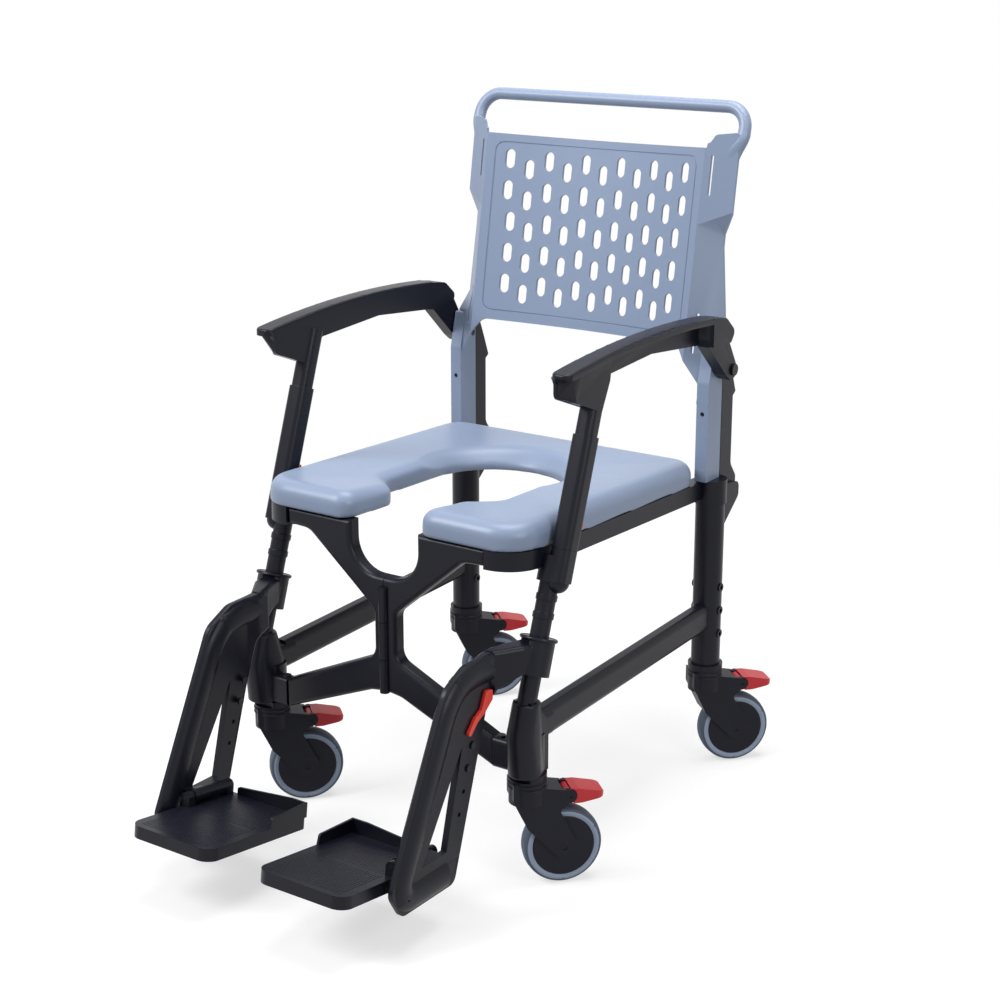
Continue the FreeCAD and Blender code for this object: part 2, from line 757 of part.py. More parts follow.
def upright_slot(x, z, width, height):
    """Cutting tool with round ends that runs through the upright sheet."""
    radius = width / 2
    reach = height / 2 - radius
    y = back_centre_y - 2 * back_sag

    def at(dx, dz):
        return Vector(x + dx, y, z + dz)

    wire = Part.Wire([
        Part.makeLine(at(-radius, -reach), at(-radius, reach)),
        Part.Arc(at(-radius, reach), at(0, height / 2), at(radius, reach)).toShape(),
        Part.makeLine(at(radius, reach), at(radius, -reach)),
        Part.Arc(at(radius, -reach), at(0, -height / 2), at(-radius, -reach)).toShape()])
    return Part.Face(wire).extrude(Vector(0, 4 * back_sag, 0))


def wing_y(x):
    """Depth of a wing's front face at a distance from the middle, before the recline."""
    return back_centre_y - back_sag + wing_return * (x - back_half_w) / wing_w


def back_sheet_blank():
    """Upright sheet: hollow panel with a wing turned back on each side."""
    tip_x = wing_half_w + 2 * handle_d
    low_z = back_screw_z

    def line_at(depth):
        return [
            Vector(-tip_x, wing_y(tip_x) + depth, low_z),
            Vector(-back_half_w, wing_y(back_half_w) + depth, low_z),
            Vector(0, back_centre_y + depth, low_z),
            Vector(back_half_w, wing_y(back_half_w) + depth, low_z),
            Vector(tip_x, wing_y(tip_x) + depth, low_z)]

    front = line_at(0)
    rear = line_at(back_sheet)
    wire = Part.Wire([
        Part.makeLine(front[0], front[1]),
        Part.Arc(front[1], front[2], front[3]).toShape(),
        Part.makeLine(front[3], front[4]),
        Part.makeLine(front[4], rear[4]),
        Part.makeLine(rear[4], rear[3]),
        Part.Arc(rear[3], rear[2], rear[1]).toShape(),
        Part.makeLine(rear[1], rear[0]),
        Part.makeLine(rear[0], front[0])])
    return Part.Face(wire).extrude(Vector(0, 0, handle_bar_z - low_z))


def back_front_outline():
    """Front view of the moulding, right half then left half."""
    notch_x = wing_half_w - wing_notch
    leg_low_z = back_screw_z + 10
    right = [
        (back_half_w + 6, back_top_z, 8), (back_half_w + 14, back_top_z + 0.7 * back_top_lip, 8),
        (wing_half_w, back_top_z + back_top_lip, 6), (wing_half_w, back_centre_z + wing_notch_top, 14),
        (notch_x, back_centre_z + wing_notch_low, 10),
        (notch_x, back_centre_z + wing_notch_low - wing_notch_run, 10),
        (wing_half_w, back_bottom_z - 5, 20), (wing_half_w, leg_low_z, 0), (back_leg_inner_x, leg_low_z, 0),
        (back_leg_inner_x, back_bottom_z - 67, 14), (back_half_w - 17, back_bottom_z - 5, 18)]
    left = [(-x, z, radius) for x, z, radius in reversed(right)]
    return right + left


def reclined(shape):
    """Lean an upright backrest piece about the panel's middle line."""
    piece = shape.copy()
    angle = math.degrees(math.atan(recline_slope))
    piece.rotate(Vector(0, back_centre_y, back_centre_z), Vector(1, 0, 0), -angle)
    return piece


def reclined_point(x, y, z):
    """Place of an upright backrest point after the recline."""
    return reclined(Part.Vertex(x, y, z)).Point


handle_foot = reclined_point(wing_half_w, wing_y(wing_half_w) + back_sheet / 2, back_top_z - handle_foot_drop)
handle_slope = (handle_bar_y - handle_foot.y) / (handle_bar_z - handle_foot.z)
handle_stretch = math.hypot(1, handle_slope)


def on_handle(x, rise):
    """Point on the handle's plane, a length up from the bar's line."""
    return Vector(x, handle_bar_y + rise * handle_slope / handle_stretch, handle_bar_z + rise / handle_stretch)


def back_handle():
    """Push handle: one bent tube above the panel."""
    radius = handle_corner_r
    side_x = wing_half_w
    turn = radius * math.sqrt(0.5)
    drop = (handle_foot.z - handle_bar_z) * handle_stretch * handle_tube_end
    path = Part.Wire([
        Part.makeLine(on_handle(side_x, drop), on_handle(side_x, -radius)),
        Part.Arc(on_handle(side_x, -radius), on_handle(side_x - radius + turn, -radius + turn),
                 on_handle(side_x - radius, 0)).toShape(),
        Part.makeLine(on_handle(side_x - radius, 0), on_handle(-side_x + radius, 0)),
        Part.Arc(on_handle(-side_x + radius, 0), on_handle(-side_x + radius - turn, -radius + turn),
                 on_handle(-side_x, -radius)).toShape(),
        Part.makeLine(on_handle(-side_x, -radius), on_handle(-side_x, drop))])
    start = on_handle(side_x, drop)
    ring = Part.Wire(Part.makeCircle(handle_d / 2, start, on_handle(side_x, -radius) - start))
    return path.makePipeShell([ring], True, False)


def handle_cheek():
    """Swelling that carries the handle's tube down into a wing."""
    drop = (handle_foot.z - handle_bar_z) * handle_stretch
    axis = on_handle(0, 0) - on_handle(0, drop)
    across = Vector(wing_w, wing_return, 0).normalize()
    thick = axis.cross(across).normalize()
    round_r = handle_d / 2

    def section(share, overhang, half_w, half_t):
        centre = on_handle(wing_half_w, drop * share) + across * (overhang - half_w)
        ellipse = Part.Ellipse(centre + across * half_w, centre + thick * half_t, centre)
        return Part.Wire(ellipse.toShape())

    return Part.makeLoft([
        section(1.0, 0.5, cheek_half_w, back_sheet / 2 - 0.5),
        section(0.8, 0.45 * round_r, 0.9 * cheek_half_w, cheek_half_t),
        section(handle_tube_end, round_r + 0.6, round_r + 2, round_r + 0.3),
        section(handle_tube_end - 0.13, round_r - 0.5, round_r - 0.5, round_r - 0.6)], True, False)


def back_leg():
    """Hollow-looking upright that carries the panel on the rear leg."""
    top_y = back_y(back_leg_top_z) - 20
    rear_y = back_leg_front_y + back_leg_depth
    return prism_x([
        (back_leg_front_y, back_leg_bottom_z, 0), (rear_y, back_leg_bottom_z, 0),
        (rear_y, back_leg_top_z - 36, 12), (top_y + 12, back_leg_top_z, 4), (top_y - 8, back_leg_top_z, 4),
        (back_leg_front_y, back_leg_knee_z, 20)], back_leg_inner_x, wing_half_w)


back_screw_x = wing_half_w - back_leg_w / 2


def back_screw(start_y):
    """Rod along a backrest screw, from a depth to the back post."""
    start = Vector(back_screw_x, start_y, back_screw_z)
    end = Vector(back_screw_x, back_post_front_y - 4, back_screw_z)
    return rod(start, end, back_screw_d)


def backrest():
    """One moulding: panel, wings, handle and two legs."""
    tall = prism_y(back_front_outline(), back_centre_y - 2 * back_sag, back_centre_y + 2 * back_sag)
    sheet = reclined(back_sheet_blank().common(tall).cut(back_slots()))
    leg = back_leg()
    cheek = handle_cheek()
    whole = fused([sheet, leg, mirrored(leg), back_handle(), cheek, mirrored(cheek)])
    screw_hole = back_screw(back_leg_front_y - 10)
    pivot_hole = rod_x(back_leg_inner_x - 20, wing_half_w + 20, arm_pivot_y, arm_pivot_z, arm_pivot_d)
    return whole.cut([screw_hole, mirrored(screw_hole), pivot_hole, mirrored(pivot_hole)])


back_moulding = backrest()
add("backrest", back_moulding)
screw = back_screw(back_leg_front_y + screw_sink)
add("back_screws", Part.makeCompound([screw, mirrored(screw)]))


# Back posts behind the backrest legs
def back_post():
    """Upright bar that stands on the ear pin and backs the grey leg."""
    front_y = back_post_front_y
    rear_y = back_post_rear_y
    step_z = back_post_step_z
    bar = prism_x([
        (front_y, ear_pin_z + 30, 6), (ear_pin_y - ear_r, ear_pin_z - ear_r, ear_r - 2),
        (ear_pin_y + ear_r - 1, ear_pin_z - ear_r, ear_r - 2), (ear_pin_y + ear_r - 1, ear_pin_z + 24, 10),
        (rear_y, ear_pin_z + 48, 20), (rear_y, step_z, 0), (rear_y + 9, step_z + 6, 2),
        (rear_y - 4, step_z + 40, 8),
        (front_y + 18, back_post_top_z, 8), (front_y, back_post_top_z - 10, 4)],
        half_track - back_post_w / 2, half_track + back_post_w / 2)
    hole = rod_x(0, 2 * half_track, ear_pin_y, ear_pin_z, ear_pin_d)
    return bar.cut([hole, back_moulding, rear_leg_right])


post_piece = back_post()
add_pair("back_post", max(post_piece.Solids, key=lambda solid: solid.Volume))
ear_half = ear_slot_w / 2 + ear_plate_w
ear_pin = rod_x(half_track - ear_half, half_track + ear_half, ear_pin_y, ear_pin_z, ear_pin_d)
add("back_post_pins", Part.makeCompound([ear_pin, mirrored(ear_pin)]))


# Armrests with their posts and release buttons
def armrest_post():
    """Stepped post under the armrest, with a pocket for the release button."""
    lower = leaning_bar(post_x, post_foot_z + butt_gap, post_step_z, post_w, post_d, post_corner_r)
    upper = leaning_bar(post_x, post_step_z - overcut, post_top_z, post_w - post_step, post_d - post_step,
                        post_corner_r)
    face_y = button_face_y()
    half_w = button_w / 2 + free_gap
    half_h = button_h / 2 + free_gap
    pocket = box(post_x - half_w, post_x + half_w, face_y - button_depth - button_travel - free_gap,
                 face_y + post_d, button_z - half_h, button_z + half_h)
    return fused([lower, upper]).cut(pocket)


def button_face_y():
    """Rear surface of the post at the button's height."""
    return lean_point(post_x, button_z).y + post_d / 2


def release_button():
    """Red button that stands out of the post's rear."""
    face_y = button_face_y()
    plan = block_corners(face_y - button_depth, face_y + button_stand, button_z - button_h / 2,
                         button_z + button_h / 2, 2.5)
    return prism_x(plan, post_x - button_w / 2, post_x + button_w / 2)


arm_post_y = lean_point(post_x, post_top_z).y
arm_tip_y = arm_post_y - arm_tip_reach
arm_front_z = post_top_z + arm_front_rise
arm_crown_y = (arm_tip_y + arm_pivot_y) / 2 - 41
arm_crown_z = arm_front_z + arm_crown_rise
arm_rear_y = arm_pivot_y - 87
arm_rear_z = arm_front_z + arm_rear_rise


def arm_plate():
    """Curved top with a rounded tip and softened edges."""
    def arc_at(depth):
        return Part.Arc(Vector(arm_inner_x, arm_tip_y, arm_front_z - depth),
                        Vector(arm_inner_x, arm_crown_y, arm_crown_z - depth),
                        Vector(arm_inner_x, arm_rear_y, arm_rear_z - depth)).toShape()

    crown = arc_at(0)
    under = arc_at(arm_plate_h)
    tip_edge = Part.makeLine(under.Vertexes[0].Point, crown.Vertexes[0].Point)
    rear_edge = Part.makeLine(crown.Vertexes[-1].Point, under.Vertexes[-1].Point)
    band = Part.Face(Part.Wire([tip_edge, crown, rear_edge, under]))
    band = band.extrude(Vector(arm_outer_x - arm_inner_x, 0, 0))
    upright = [edge for edge in edges_on(band, "Y", arm_tip_y) if edge.BoundBox.XLength < 1e-4]
    plate = band.makeFillet(arm_tip_r, upright)
    top = max(plate.Faces, key=lambda face: face.CenterOfMass.z)
    rim = [edge for edge in top.Edges if edge.CenterOfMass.y < arm_rear_y - 1]
    return plate.makeFillet(arm_edge_r, rim)


def armrest():
    """Curved top with a deep inner skirt, a front bracket and the rear link."""
    skirt_front_y = arm_tip_y + 12
    bracket_y = arm_post_y - 12
    tail_y = arm_post_y + 10
    under_z = arm_front_z - arm_plate_h + 5
    end_cap = prism_x([
        (arm_rear_y - 6, arm_rear_z - 0.2, 0), (arm_rear_y + 36, arm_rear_z - 6, 18),
        (arm_rear_y + 67, arm_rear_z - 32, 10), (arm_rear_y + 54, arm_rear_z - 50, 8),
        (arm_rear_y - 6, arm_rear_z - 48, 0)], arm_inner_x, arm_outer_x)
    skirt = prism_x([
        (skirt_front_y - 7, under_z, 2), (skirt_front_y, under_z - 12, 10), (skirt_front_y, under_z - 34, 12),
        (bracket_y, under_z - 70, 4), (tail_y, under_z - 26, 6), (arm_crown_y + 60, under_z - 15, 0),
        (arm_rear_y - 4, arm_rear_z - 48, 0), (arm_rear_y + 40, arm_rear_z - 44, 4),
        (arm_rear_y + 40, arm_rear_z - 14, 4), (arm_rear_y, arm_rear_z - 8, 0),
        (arm_crown_y, arm_crown_z - 8, 0)], arm_inner_x, arm_inner_x + arm_skirt_w)
    bracket = prism_x([
        (bracket_y - 80, under_z - 2, 0), (bracket_y - 72, under_z - 42, 8), (bracket_y, under_z - 70, 4),
        (tail_y, under_z - 26, 6), (tail_y + 6, under_z + 10, 0)],
        arm_inner_x + arm_skirt_w - overcut, post_x + post_w / 2 - 2)
    link = prism_x([
        (arm_rear_y, arm_rear_z - 24, 6), (arm_rear_y, arm_rear_z - 50, 6),
        (arm_pivot_y - 26, arm_pivot_z - 4, 14), (arm_pivot_y - 6, arm_pivot_z - arm_pivot_boss_r - 2, 12),
        (arm_pivot_y + arm_pivot_boss_r + 1, arm_pivot_z - 6, 12), (arm_pivot_y - 25, arm_rear_z - 40, 10),
        (arm_pivot_y - 33, arm_rear_z - 24, 6)], arm_inner_x, arm_inner_x + arm_link_w)
    whole = fused([arm_plate(), end_cap, skirt, bracket, link])
    pivot = rod_x(0, 2 * arm_outer_x, arm_pivot_y, arm_pivot_z, arm_pivot_d + 2 * running_fit)
    return whole.cut([armrest_post(), pivot])


def arm_pivot():
    """Headed pin that joins an armrest's link to the backrest's leg."""
    link_x = arm_inner_x + arm_link_w
    shank = rod_x(back_leg_inner_x, link_x + arm_pivot_head_h, arm_pivot_y, arm_pivot_z, arm_pivot_d)
    head = rod_x(link_x + free_gap, link_x + arm_pivot_head_h, arm_pivot_y, arm_pivot_z, arm_pivot_head_d)
    return fused([shank, head])


add_pair("armrest", armrest())
add_pair("armrest_post", armrest_post())
add_pair("armrest_release", release_button())
add("armrest_pivots", Part.makeCompound([arm_pivot(), mirrored(arm_pivot())]))


# Hangers: an upper arm that turns on the front leg and a lower loop bolted to it
def from_stem(corners):
    """Side-view corners given as lengths behind the front stem and above the caster's top."""
    return [(front_stem_y + dy, caster_height + dz, radius) for dy, dz, radius in corners]


def bar_y(z):
    """Middle of the hanger's rear bar at height z."""
    return drop_bolt_y - (drop_bolt_z - z) * lean_tan


def hanger_loop():
    """Hanger below its shoulder: rolled rim, recessed outer face and the gap between its bars."""
    loop = prism_x(from_stem([
        (-41, 216, 0), (-127, 214, 30), (-175, 190, 36), (-309, -80, 20), (-285, -120, 18), (-157, -120, 16),
        (-71, 140, 20), (-41, 152, 0)]), hanger_inner_x, hanger_outer_x)
    rims = edges_on(loop, "X", hanger_inner_x) + edges_on(loop, "X", hanger_outer_x)
    loop = loop.makeFillet(hanger_edge_r, rims)
    pocket = prism_x(from_stem([
        (-112, 190, 14), (-152, 176, 16), (-277, -82, 12), (-130, -82, 0), (0, 140, 0), (-30, 172, 0)]),
        hanger_floor_x, hanger_outer_x + overcut)
    gap = prism_x(from_stem([(-144, 68, 3), (-229, -58, 8), (-182, -58, 8)]),
                  hanger_inner_x - overcut, hanger_outer_x + overcut)
    return loop.cut([pocket, gap])


def shoulder():
    """Arm that carries the hanger out from its ring."""
    def section(y, x0, x1, z0, z1):
        return outline(block_corners(x0, x1, z0, z1, shoulder_corner_r), lambda p: Vector(p.x, y, p.y))

    ring_y = lean_point(0, (hanger_ring_bottom_z + hanger_ring_top_z) / 2).y
    low_z = hanger_ring_bottom_z
    top_z = hanger_ring_top_z
    return Part.makeLoft([
        section(ring_y, front_leg_x - 22, front_leg_x + 14, low_z + 8, top_z - 2),
        section(front_stem_y - 23, front_leg_x - 34, front_leg_x + 4, low_z + 6, top_z - 1),
        section(front_stem_y - 61, hanger_inner_x, hanger_outer_x, low_z - 14, top_z - 3)], True, True)


def drop_tongue(play):
    """Tongue of the lower loop inside the upper arm's rear bar."""
    half = drop_tongue_w / 2 + play
    half_h = drop_tongue_half_h + play
    low_z = hanger_seam_z - drop_tongue_under
    top_z = drop_bolt_z + drop_tongue_over + play
    return prism_x([
        (bar_y(low_z) - half_h, low_z, 0), (bar_y(low_z) + half_h, low_z, 0),
        (bar_y(top_z) + half_h, top_z, 0), (bar_y(top_z) - half_h, top_z, 0)],
        drop_mid_x - half, drop_mid_x + half)


def drop_hole(i, x0, x1, diameter):
    """Cross hole number i down the rear bar."""
    z = drop_bolt_z - i * drop_hole_pitch
    return rod_x(x0, x1, bar_y(z), z, diameter)


def below_seam():
    """Everything under the hanger's seam."""
    return box(0, 2 * half_track, plate_front_y, 0, 0, hanger_seam_z)


axis_room = leaning_rod(front_leg_x, hanger_ring_bottom_z - 40, hanger_ring_top_z + 20,
                        front_leg_d + 2 * running_fit)
hanger_ring = leaning_rod(front_leg_x, hanger_ring_bottom_z, hanger_ring_top_z, hanger_ring_d)
bolt_holes = [drop_hole(i, hanger_inner_x - hanger_w, hanger_outer_x + hanger_w, drop_bolt_d)
              for i in range(drop_holes)]
lever_hole = rod_x(hanger_floor_x - lever_pin_depth - 2, hanger_outer_x, lever_pin_y, lever_pin_z,
                   lever_pin_d + 2 * running_fit)
loop_shape = hanger_loop()


def hanger():
    """Upper arm with its ring round the front leg."""
    upper = loop_shape.cut(below_seam())
    whole = fused([upper, shoulder(), hanger_ring])
    return whole.cut([axis_room, drop_tongue(free_gap), lever_hole] + bolt_holes)


def footrest_loop():
    """Lower loop with the tongue and the hinge barrel of the footplate."""
    lower = loop_shape.common(below_seam())
    barrel = plate_rod_shape(plate_barrel_d, barrel_front_y, barrel_rear_y)
    bridge = tilted_plate(box(plate_hinge_x, hanger_inner_x + 2, barrel_front_y, barrel_rear_y,
                              plate_hinge_rise - 6, plate_hinge_rise + 6))
    rod_hole = plate_rod_shape(plate_rod_d, barrel_front_y - 40, barrel_rear_y + 40)
    return fused([lower, drop_tongue(0), barrel, bridge]).cut(bolt_holes + [rod_hole])


def drop_bolt(i):
    """Bolt through the rear bar with a head on both sides."""
    shank = drop_hole(i, hanger_inner_x, hanger_floor_x, drop_bolt_d)
    near = drop_hole(i, hanger_floor_x, hanger_floor_x + drop_bolt_head_h, drop_bolt_head_d)
    far = drop_hole(i, hanger_inner_x - drop_bolt_head_h, hanger_inner_x, drop_bolt_head_d)
    return fused([shank, near, far])


def release_lever():
    """Bent red lever in the hanger's recess."""
    x0 = hanger_floor_x + free_gap
    bends = [
        (8, 8, 4), (-8, 10, 4), (-20, -16, 3), (-36, -24, 3), (-54, -44, 3), (-48, -49, 3), (-30, -32, 3),
        (-12, -23, 3), (8, -8, 4)]
    corners = [(lever_pin_y + dy, lever_pin_z + dz, radius) for dy, dz, radius in bends]
    strip = prism_x(corners, x0, x0 + lever_t)
    pin = rod_x(hanger_floor_x - lever_pin_depth, x0 + 1, lever_pin_y, lever_pin_z, lever_pin_d)
    return fused([strip, pin])


# Footplates, drawn level with the top at z = 0 and then pitched heel down
def tilted_plate(shape):
    """Set a level footplate piece to its pitch and height."""
    piece = shape.copy()
    piece.translate(Vector(0, 0, plate_rear_z))
    piece.rotate(Vector(0, plate_rear_y, plate_rear_z), Vector(1, 0, 0), -plate_pitch)
    return piece


def plate_rod_shape(diameter, y0, y1):
    """Cylinder along the footplate's hinge line."""
    start = Vector(plate_hinge_x, y0, plate_hinge_rise)
    end = Vector(plate_hinge_x, y1, plate_hinge_rise)
    return tilted_plate(rod(start, end, diameter))


def footplate():
    """Tread with a rear wall, a stepped inner wall and two hinge lugs."""
    plan = [
        (plate_inner_x, plate_front_y, plate_front_r), (plate_outer_x, plate_front_y, plate_front_r),
        (plate_outer_x, plate_rear_y, 4), (plate_inner_x, plate_rear_y, 8)]
    deck = prism_z(plan, -plate_t, 0)
    hollow_front_y = plate_front_y + plate_front_r
    hollow = box(plate_inner_x + plate_wall, plate_outer_x - plate_wall, hollow_front_y + plate_wall,
                 plate_rear_y - plate_wall, -plate_t - overcut, -plate_wall)
    middle_x = (plate_inner_x + plate_outer_x) / 2
    spine = box(middle_x - plate_wall / 2, middle_x + plate_wall / 2,
                hollow_front_y, plate_rear_y, -plate_t, -1)
    wall_end_x = plate_outer_x - plate_front_r
    rear_wall = prism_y([
        (plate_inner_x, -2, 0), (wall_end_x, -2, 0), (wall_end_x, plate_rim_h - plate_rim_slope, 4),
        (plate_inner_x + 30, plate_rim_h, 20), (plate_inner_x, plate_rim_h, 0)],
        plate_rear_y - plate_wall, plate_rear_y)
    inner_wall = prism_x([
        (plate_rear_y, -2, 0), (plate_step_y - 4, -2, 0), (plate_step_y, plate_rim_h - 6, 4),
        (plate_rear_y, plate_rim_h, 0)], plate_inner_x, plate_inner_x + plate_wall)
    lugs = []
    for y in (barrel_front_y - free_gap - plate_lug_w, barrel_rear_y + free_gap):
        eye = rod(Vector(plate_hinge_x, y, plate_hinge_rise),
                  Vector(plate_hinge_x, y + plate_lug_w, plate_hinge_rise), plate_barrel_d - 4)
        foot = box(plate_hinge_x - 9, plate_outer_x - 1, y, y + plate_lug_w, -2, plate_hinge_rise)
        lugs += [eye, foot]
    whole = fused([deck.cut(hollow), spine, rear_wall, inner_wall] + lugs)
    rod_hole = rod(Vector(plate_hinge_x, plate_front_y, plate_hinge_rise),
                   Vector(plate_hinge_x, 0, plate_hinge_rise), plate_rod_d + 2 * running_fit)
    return tilted_plate(whole.cut(rod_hole))


bolts = Part.makeCompound([drop_bolt(i) for i in range(drop_bolts)])
rod_end = plate_lug_w + 1
add_pair("hanger", hanger())
add_pair("footrest_loop", footrest_loop())
add_pair("footrest_bolts", bolts)
add_pair("hanger_release", release_lever())
add_pair("footplate", footplate())
add_pair("footplate_rod", plate_rod_shape(plate_rod_d, barrel_front_y - rod_end, barrel_rear_y + rod_end))

for node_name, node_shape in nodes.items():
    node_shape.exportStep("parts/" + node_name + ".step")
    print(node_name, len(node_shape.Solids), node_shape.isValid(), round(node_shape.Volume))
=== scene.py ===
import json
import math

import bmesh
import bpy
from mathutils import Matrix, Vector

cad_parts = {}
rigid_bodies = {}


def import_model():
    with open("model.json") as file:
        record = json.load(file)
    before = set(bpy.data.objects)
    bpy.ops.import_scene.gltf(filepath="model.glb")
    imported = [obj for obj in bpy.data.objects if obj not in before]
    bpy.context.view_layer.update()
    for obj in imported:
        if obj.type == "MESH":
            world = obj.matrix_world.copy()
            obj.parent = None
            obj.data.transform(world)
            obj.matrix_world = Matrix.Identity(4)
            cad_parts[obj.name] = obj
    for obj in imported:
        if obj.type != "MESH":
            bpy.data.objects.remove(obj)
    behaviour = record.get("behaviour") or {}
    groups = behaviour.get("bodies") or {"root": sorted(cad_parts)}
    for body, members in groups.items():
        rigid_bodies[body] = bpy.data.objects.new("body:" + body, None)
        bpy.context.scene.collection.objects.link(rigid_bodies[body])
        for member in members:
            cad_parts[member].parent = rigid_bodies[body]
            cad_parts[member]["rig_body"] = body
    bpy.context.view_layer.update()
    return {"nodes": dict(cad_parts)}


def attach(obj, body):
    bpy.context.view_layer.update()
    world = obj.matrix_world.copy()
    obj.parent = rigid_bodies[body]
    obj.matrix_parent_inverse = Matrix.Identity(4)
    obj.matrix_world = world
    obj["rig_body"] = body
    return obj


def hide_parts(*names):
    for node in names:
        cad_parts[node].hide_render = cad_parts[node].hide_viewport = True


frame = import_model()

bl_info = {
    "name": "Shower commode chair",
    "version": (1, 0, 0),
    "blender": (4, 5, 0),
    "location": "View3D > Sidebar > Chair",
    "description": "Dresses the shower commode chair and sets its stage",
    "category": "Object",
}

NODES = frame["nodes"]
CORNERS = ("front_left", "front_right", "rear_left", "rear_right")
# Sign of X on each side
SIDES = {"left": -1, "right": 1}

# Lengths below are in metres, places in the chair's frame

# Casters
HALF_TRACK = 0.257
HALF_WHEELBASE = 0.277
CASTER_YAW = math.radians(42.0)
CASTER_AXLE = Vector((math.cos(CASTER_YAW), -math.sin(CASTER_YAW), 0))
CASTER_TRAIL = 0.054
CASTER_TOP = 0.178
WHEEL_R = 0.0625
TYRE_SIDE_R = 0.0555
TYRE_SIDE_FACING = 0.6
PIN_END = 0.0212
HOOP_DROP = 0.014

# Seat, with the share and the rounds of its smoothing
SEAT_EASE = 0.5
SEAT_EASE_ROUNDS = 5

# Backrest, with rises along the panel from its middle and shares of the wing's width
BACK_CENTRE = Vector((0.0, 0.2964, 0.807))
BACK_RECLINE = math.atan(0.1586)
BACK_HALF_W = 0.217
BACK_SAG = 0.044
PANEL_TOP_RISE = (0.255, 0.285)
PANEL_END_SHARE = 0.08
WING_W = 0.048
WING_MARGIN = 0.002
WING_ROOT_SHARE = 0.05
FOLD_RUN_OUT = 0.03
GROOVE_STEP = 0.012
GROOVE_CORNER_STEPS = 6

# Footplates
PLATE_REAR = Vector((0.0, -0.442, 0.093))
PLATE_PITCH = math.radians(8.0)
PLATE_MIDDLE_X = 0.1265
RIB_COUNT = 27
RIB_SINK = 0.7
RIB_REAR_GAP = 0.012
RIB_FRONT_GAP = 0.018

# Hangers, with corners along Y and Z from the front caster's top and a rim corner's easing
HANGER_X = 0.228
RING_TOP = Vector((0.262, -0.2556, 0.396))
LEG_LEAN = math.radians(19.0)
RIM_CORNERS = (
    (-0.060, 0.191, 0), (-0.122, 0.192, 0.030), (-0.1586, 0.1736, 0.034), (-0.284, -0.0789, 0.020),
    (-0.2725, -0.098, 0.014), (-0.176, -0.098, 0))
RIM_STRETCH = 1.7
GAP_CORNERS = ((-0.135, 0.092), (-0.236, -0.062), (-0.176, -0.062))
GAP_X = (0.200, 0.260)
WEB_REACH = 0.2135
WEB_FLOOR_X = 0.233
WEB_INNER_SHARE = 0.65
WEB_OUTER_SHARE = 0.05
WEB_START_Y = -0.342
WEB_EASE = 0.03
WEB_CUTS = 4
WEB_WELD = 2e-5
WEB_THINNEST = 1e-5

# Armrests and their release buttons
NOSE_START = 0.012
NOSE_END = 0.060
NOSE_SHARE = 0.965
TAB_DEPTH = 0.006
TAB_REACH = 0.010

# Front feet, with the casing's rings as x, y, radius and height, and lower rails
LUG_BOLT = Vector((0.2145, -0.285, 0.236))
FOOT_TRIM_Y = -0.2985
FOOT_RINGS = (
    (0.257, -0.277, 0.0262, 0.1875), (0.262, -0.291, 0.0262, 0.1875), (0.257, -0.277, 0.022, 0.259),
    (0.262, -0.2995, 0.0237, 0.256), (0.262, -0.2873, 0.0215, 0.305))
RAIL_Z = 0.255
RAIL_GROWTH = 1.42
RAIL_RISE = 0.021

# Roundings of casings and small pieces
CASING_EDGE = 0.003
PEDAL_EDGE = 0.0010
LEVER_EDGE = 0.0008
PIN_EDGE = 0.0006
BOLT_EDGE = 0.0005
ROD_EDGE = 0.0004

# Angles in degrees from which an edge stays sharp
MOULDED_SHARP = 32
TRIM_SHARP = 35
ARMREST_SHARP = 42
BACKREST_SHARP = 16

# Mesh work: welding and cutting distances, angles up to which faces are one, weight of flat faces
WELD = 2e-6
CUT_LIMIT = 1e-6
FLAT = math.radians(0.4)
SKIN_FLAT = math.radians(0.5)
FLAT_WEIGHT = 60

# Studio floor: half side, where it runs out to white, and its share of own light
FLOOR_REACH = 60.0
FLOOR_FADE = (1.1, 2.4)
FLOOR_LIFT = 0.62


def body_of_node(node):
    """Name of the body that carries a node."""
    return NODES[node]["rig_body"]


class ChairColours(bpy.types.PropertyGroup):
    """Colours of the chair's finishes."""
    grey: bpy.props.FloatVectorProperty(
        name="Grey plastic", description="Seat and backrest", subtype="COLOR", size=3,
        default=(0.228, 0.287, 0.410))
    black: bpy.props.FloatVectorProperty(
        name="Black plastic", description="Frame, armrests and footrests", subtype="COLOR", size=3,
        default=(0.0054, 0.0058, 0.0118))
    hub: bpy.props.FloatVectorProperty(
        name="Hub plastic", description="Wheel discs and caster forks", subtype="COLOR", size=3,
        default=(0.0058, 0.0062, 0.0120))
    tread: bpy.props.FloatVectorProperty(
        name="Tyre tread", description="Rolling face of the tyres", subtype="COLOR", size=3,
        default=(0.070, 0.094, 0.130))
    tyre_side: bpy.props.FloatVectorProperty(
        name="Tyre side", description="Pale ring beside the wheel disc", subtype="COLOR", size=3,
        default=(0.30, 0.36, 0.48))
    pedal: bpy.props.FloatVectorProperty(
        name="Pedal red", description="Brake pedals", subtype="COLOR", size=3,
        default=(0.56, 0.022, 0.03))
    lever: bpy.props.FloatVectorProperty(
        name="Lever red", description="Hanger levers and armrest buttons", subtype="COLOR", size=3,
        default=(0.82, 0.05, 0.03))
    steel: bpy.props.FloatVectorProperty(
        name="Steel", description="Pins, bolts and axles", subtype="COLOR", size=3,
        default=(0.028, 0.028, 0.031))
    floor: bpy.props.FloatVectorProperty(
        name="Floor", description="Studio floor", subtype="COLOR", size=3, default=(0.42, 0.42, 0.42))


def length(name, description, default):
    """Length property in metres."""
    return bpy.props.FloatProperty(
        name=name, description=description, subtype="DISTANCE", unit="LENGTH", precision=5, default=default)


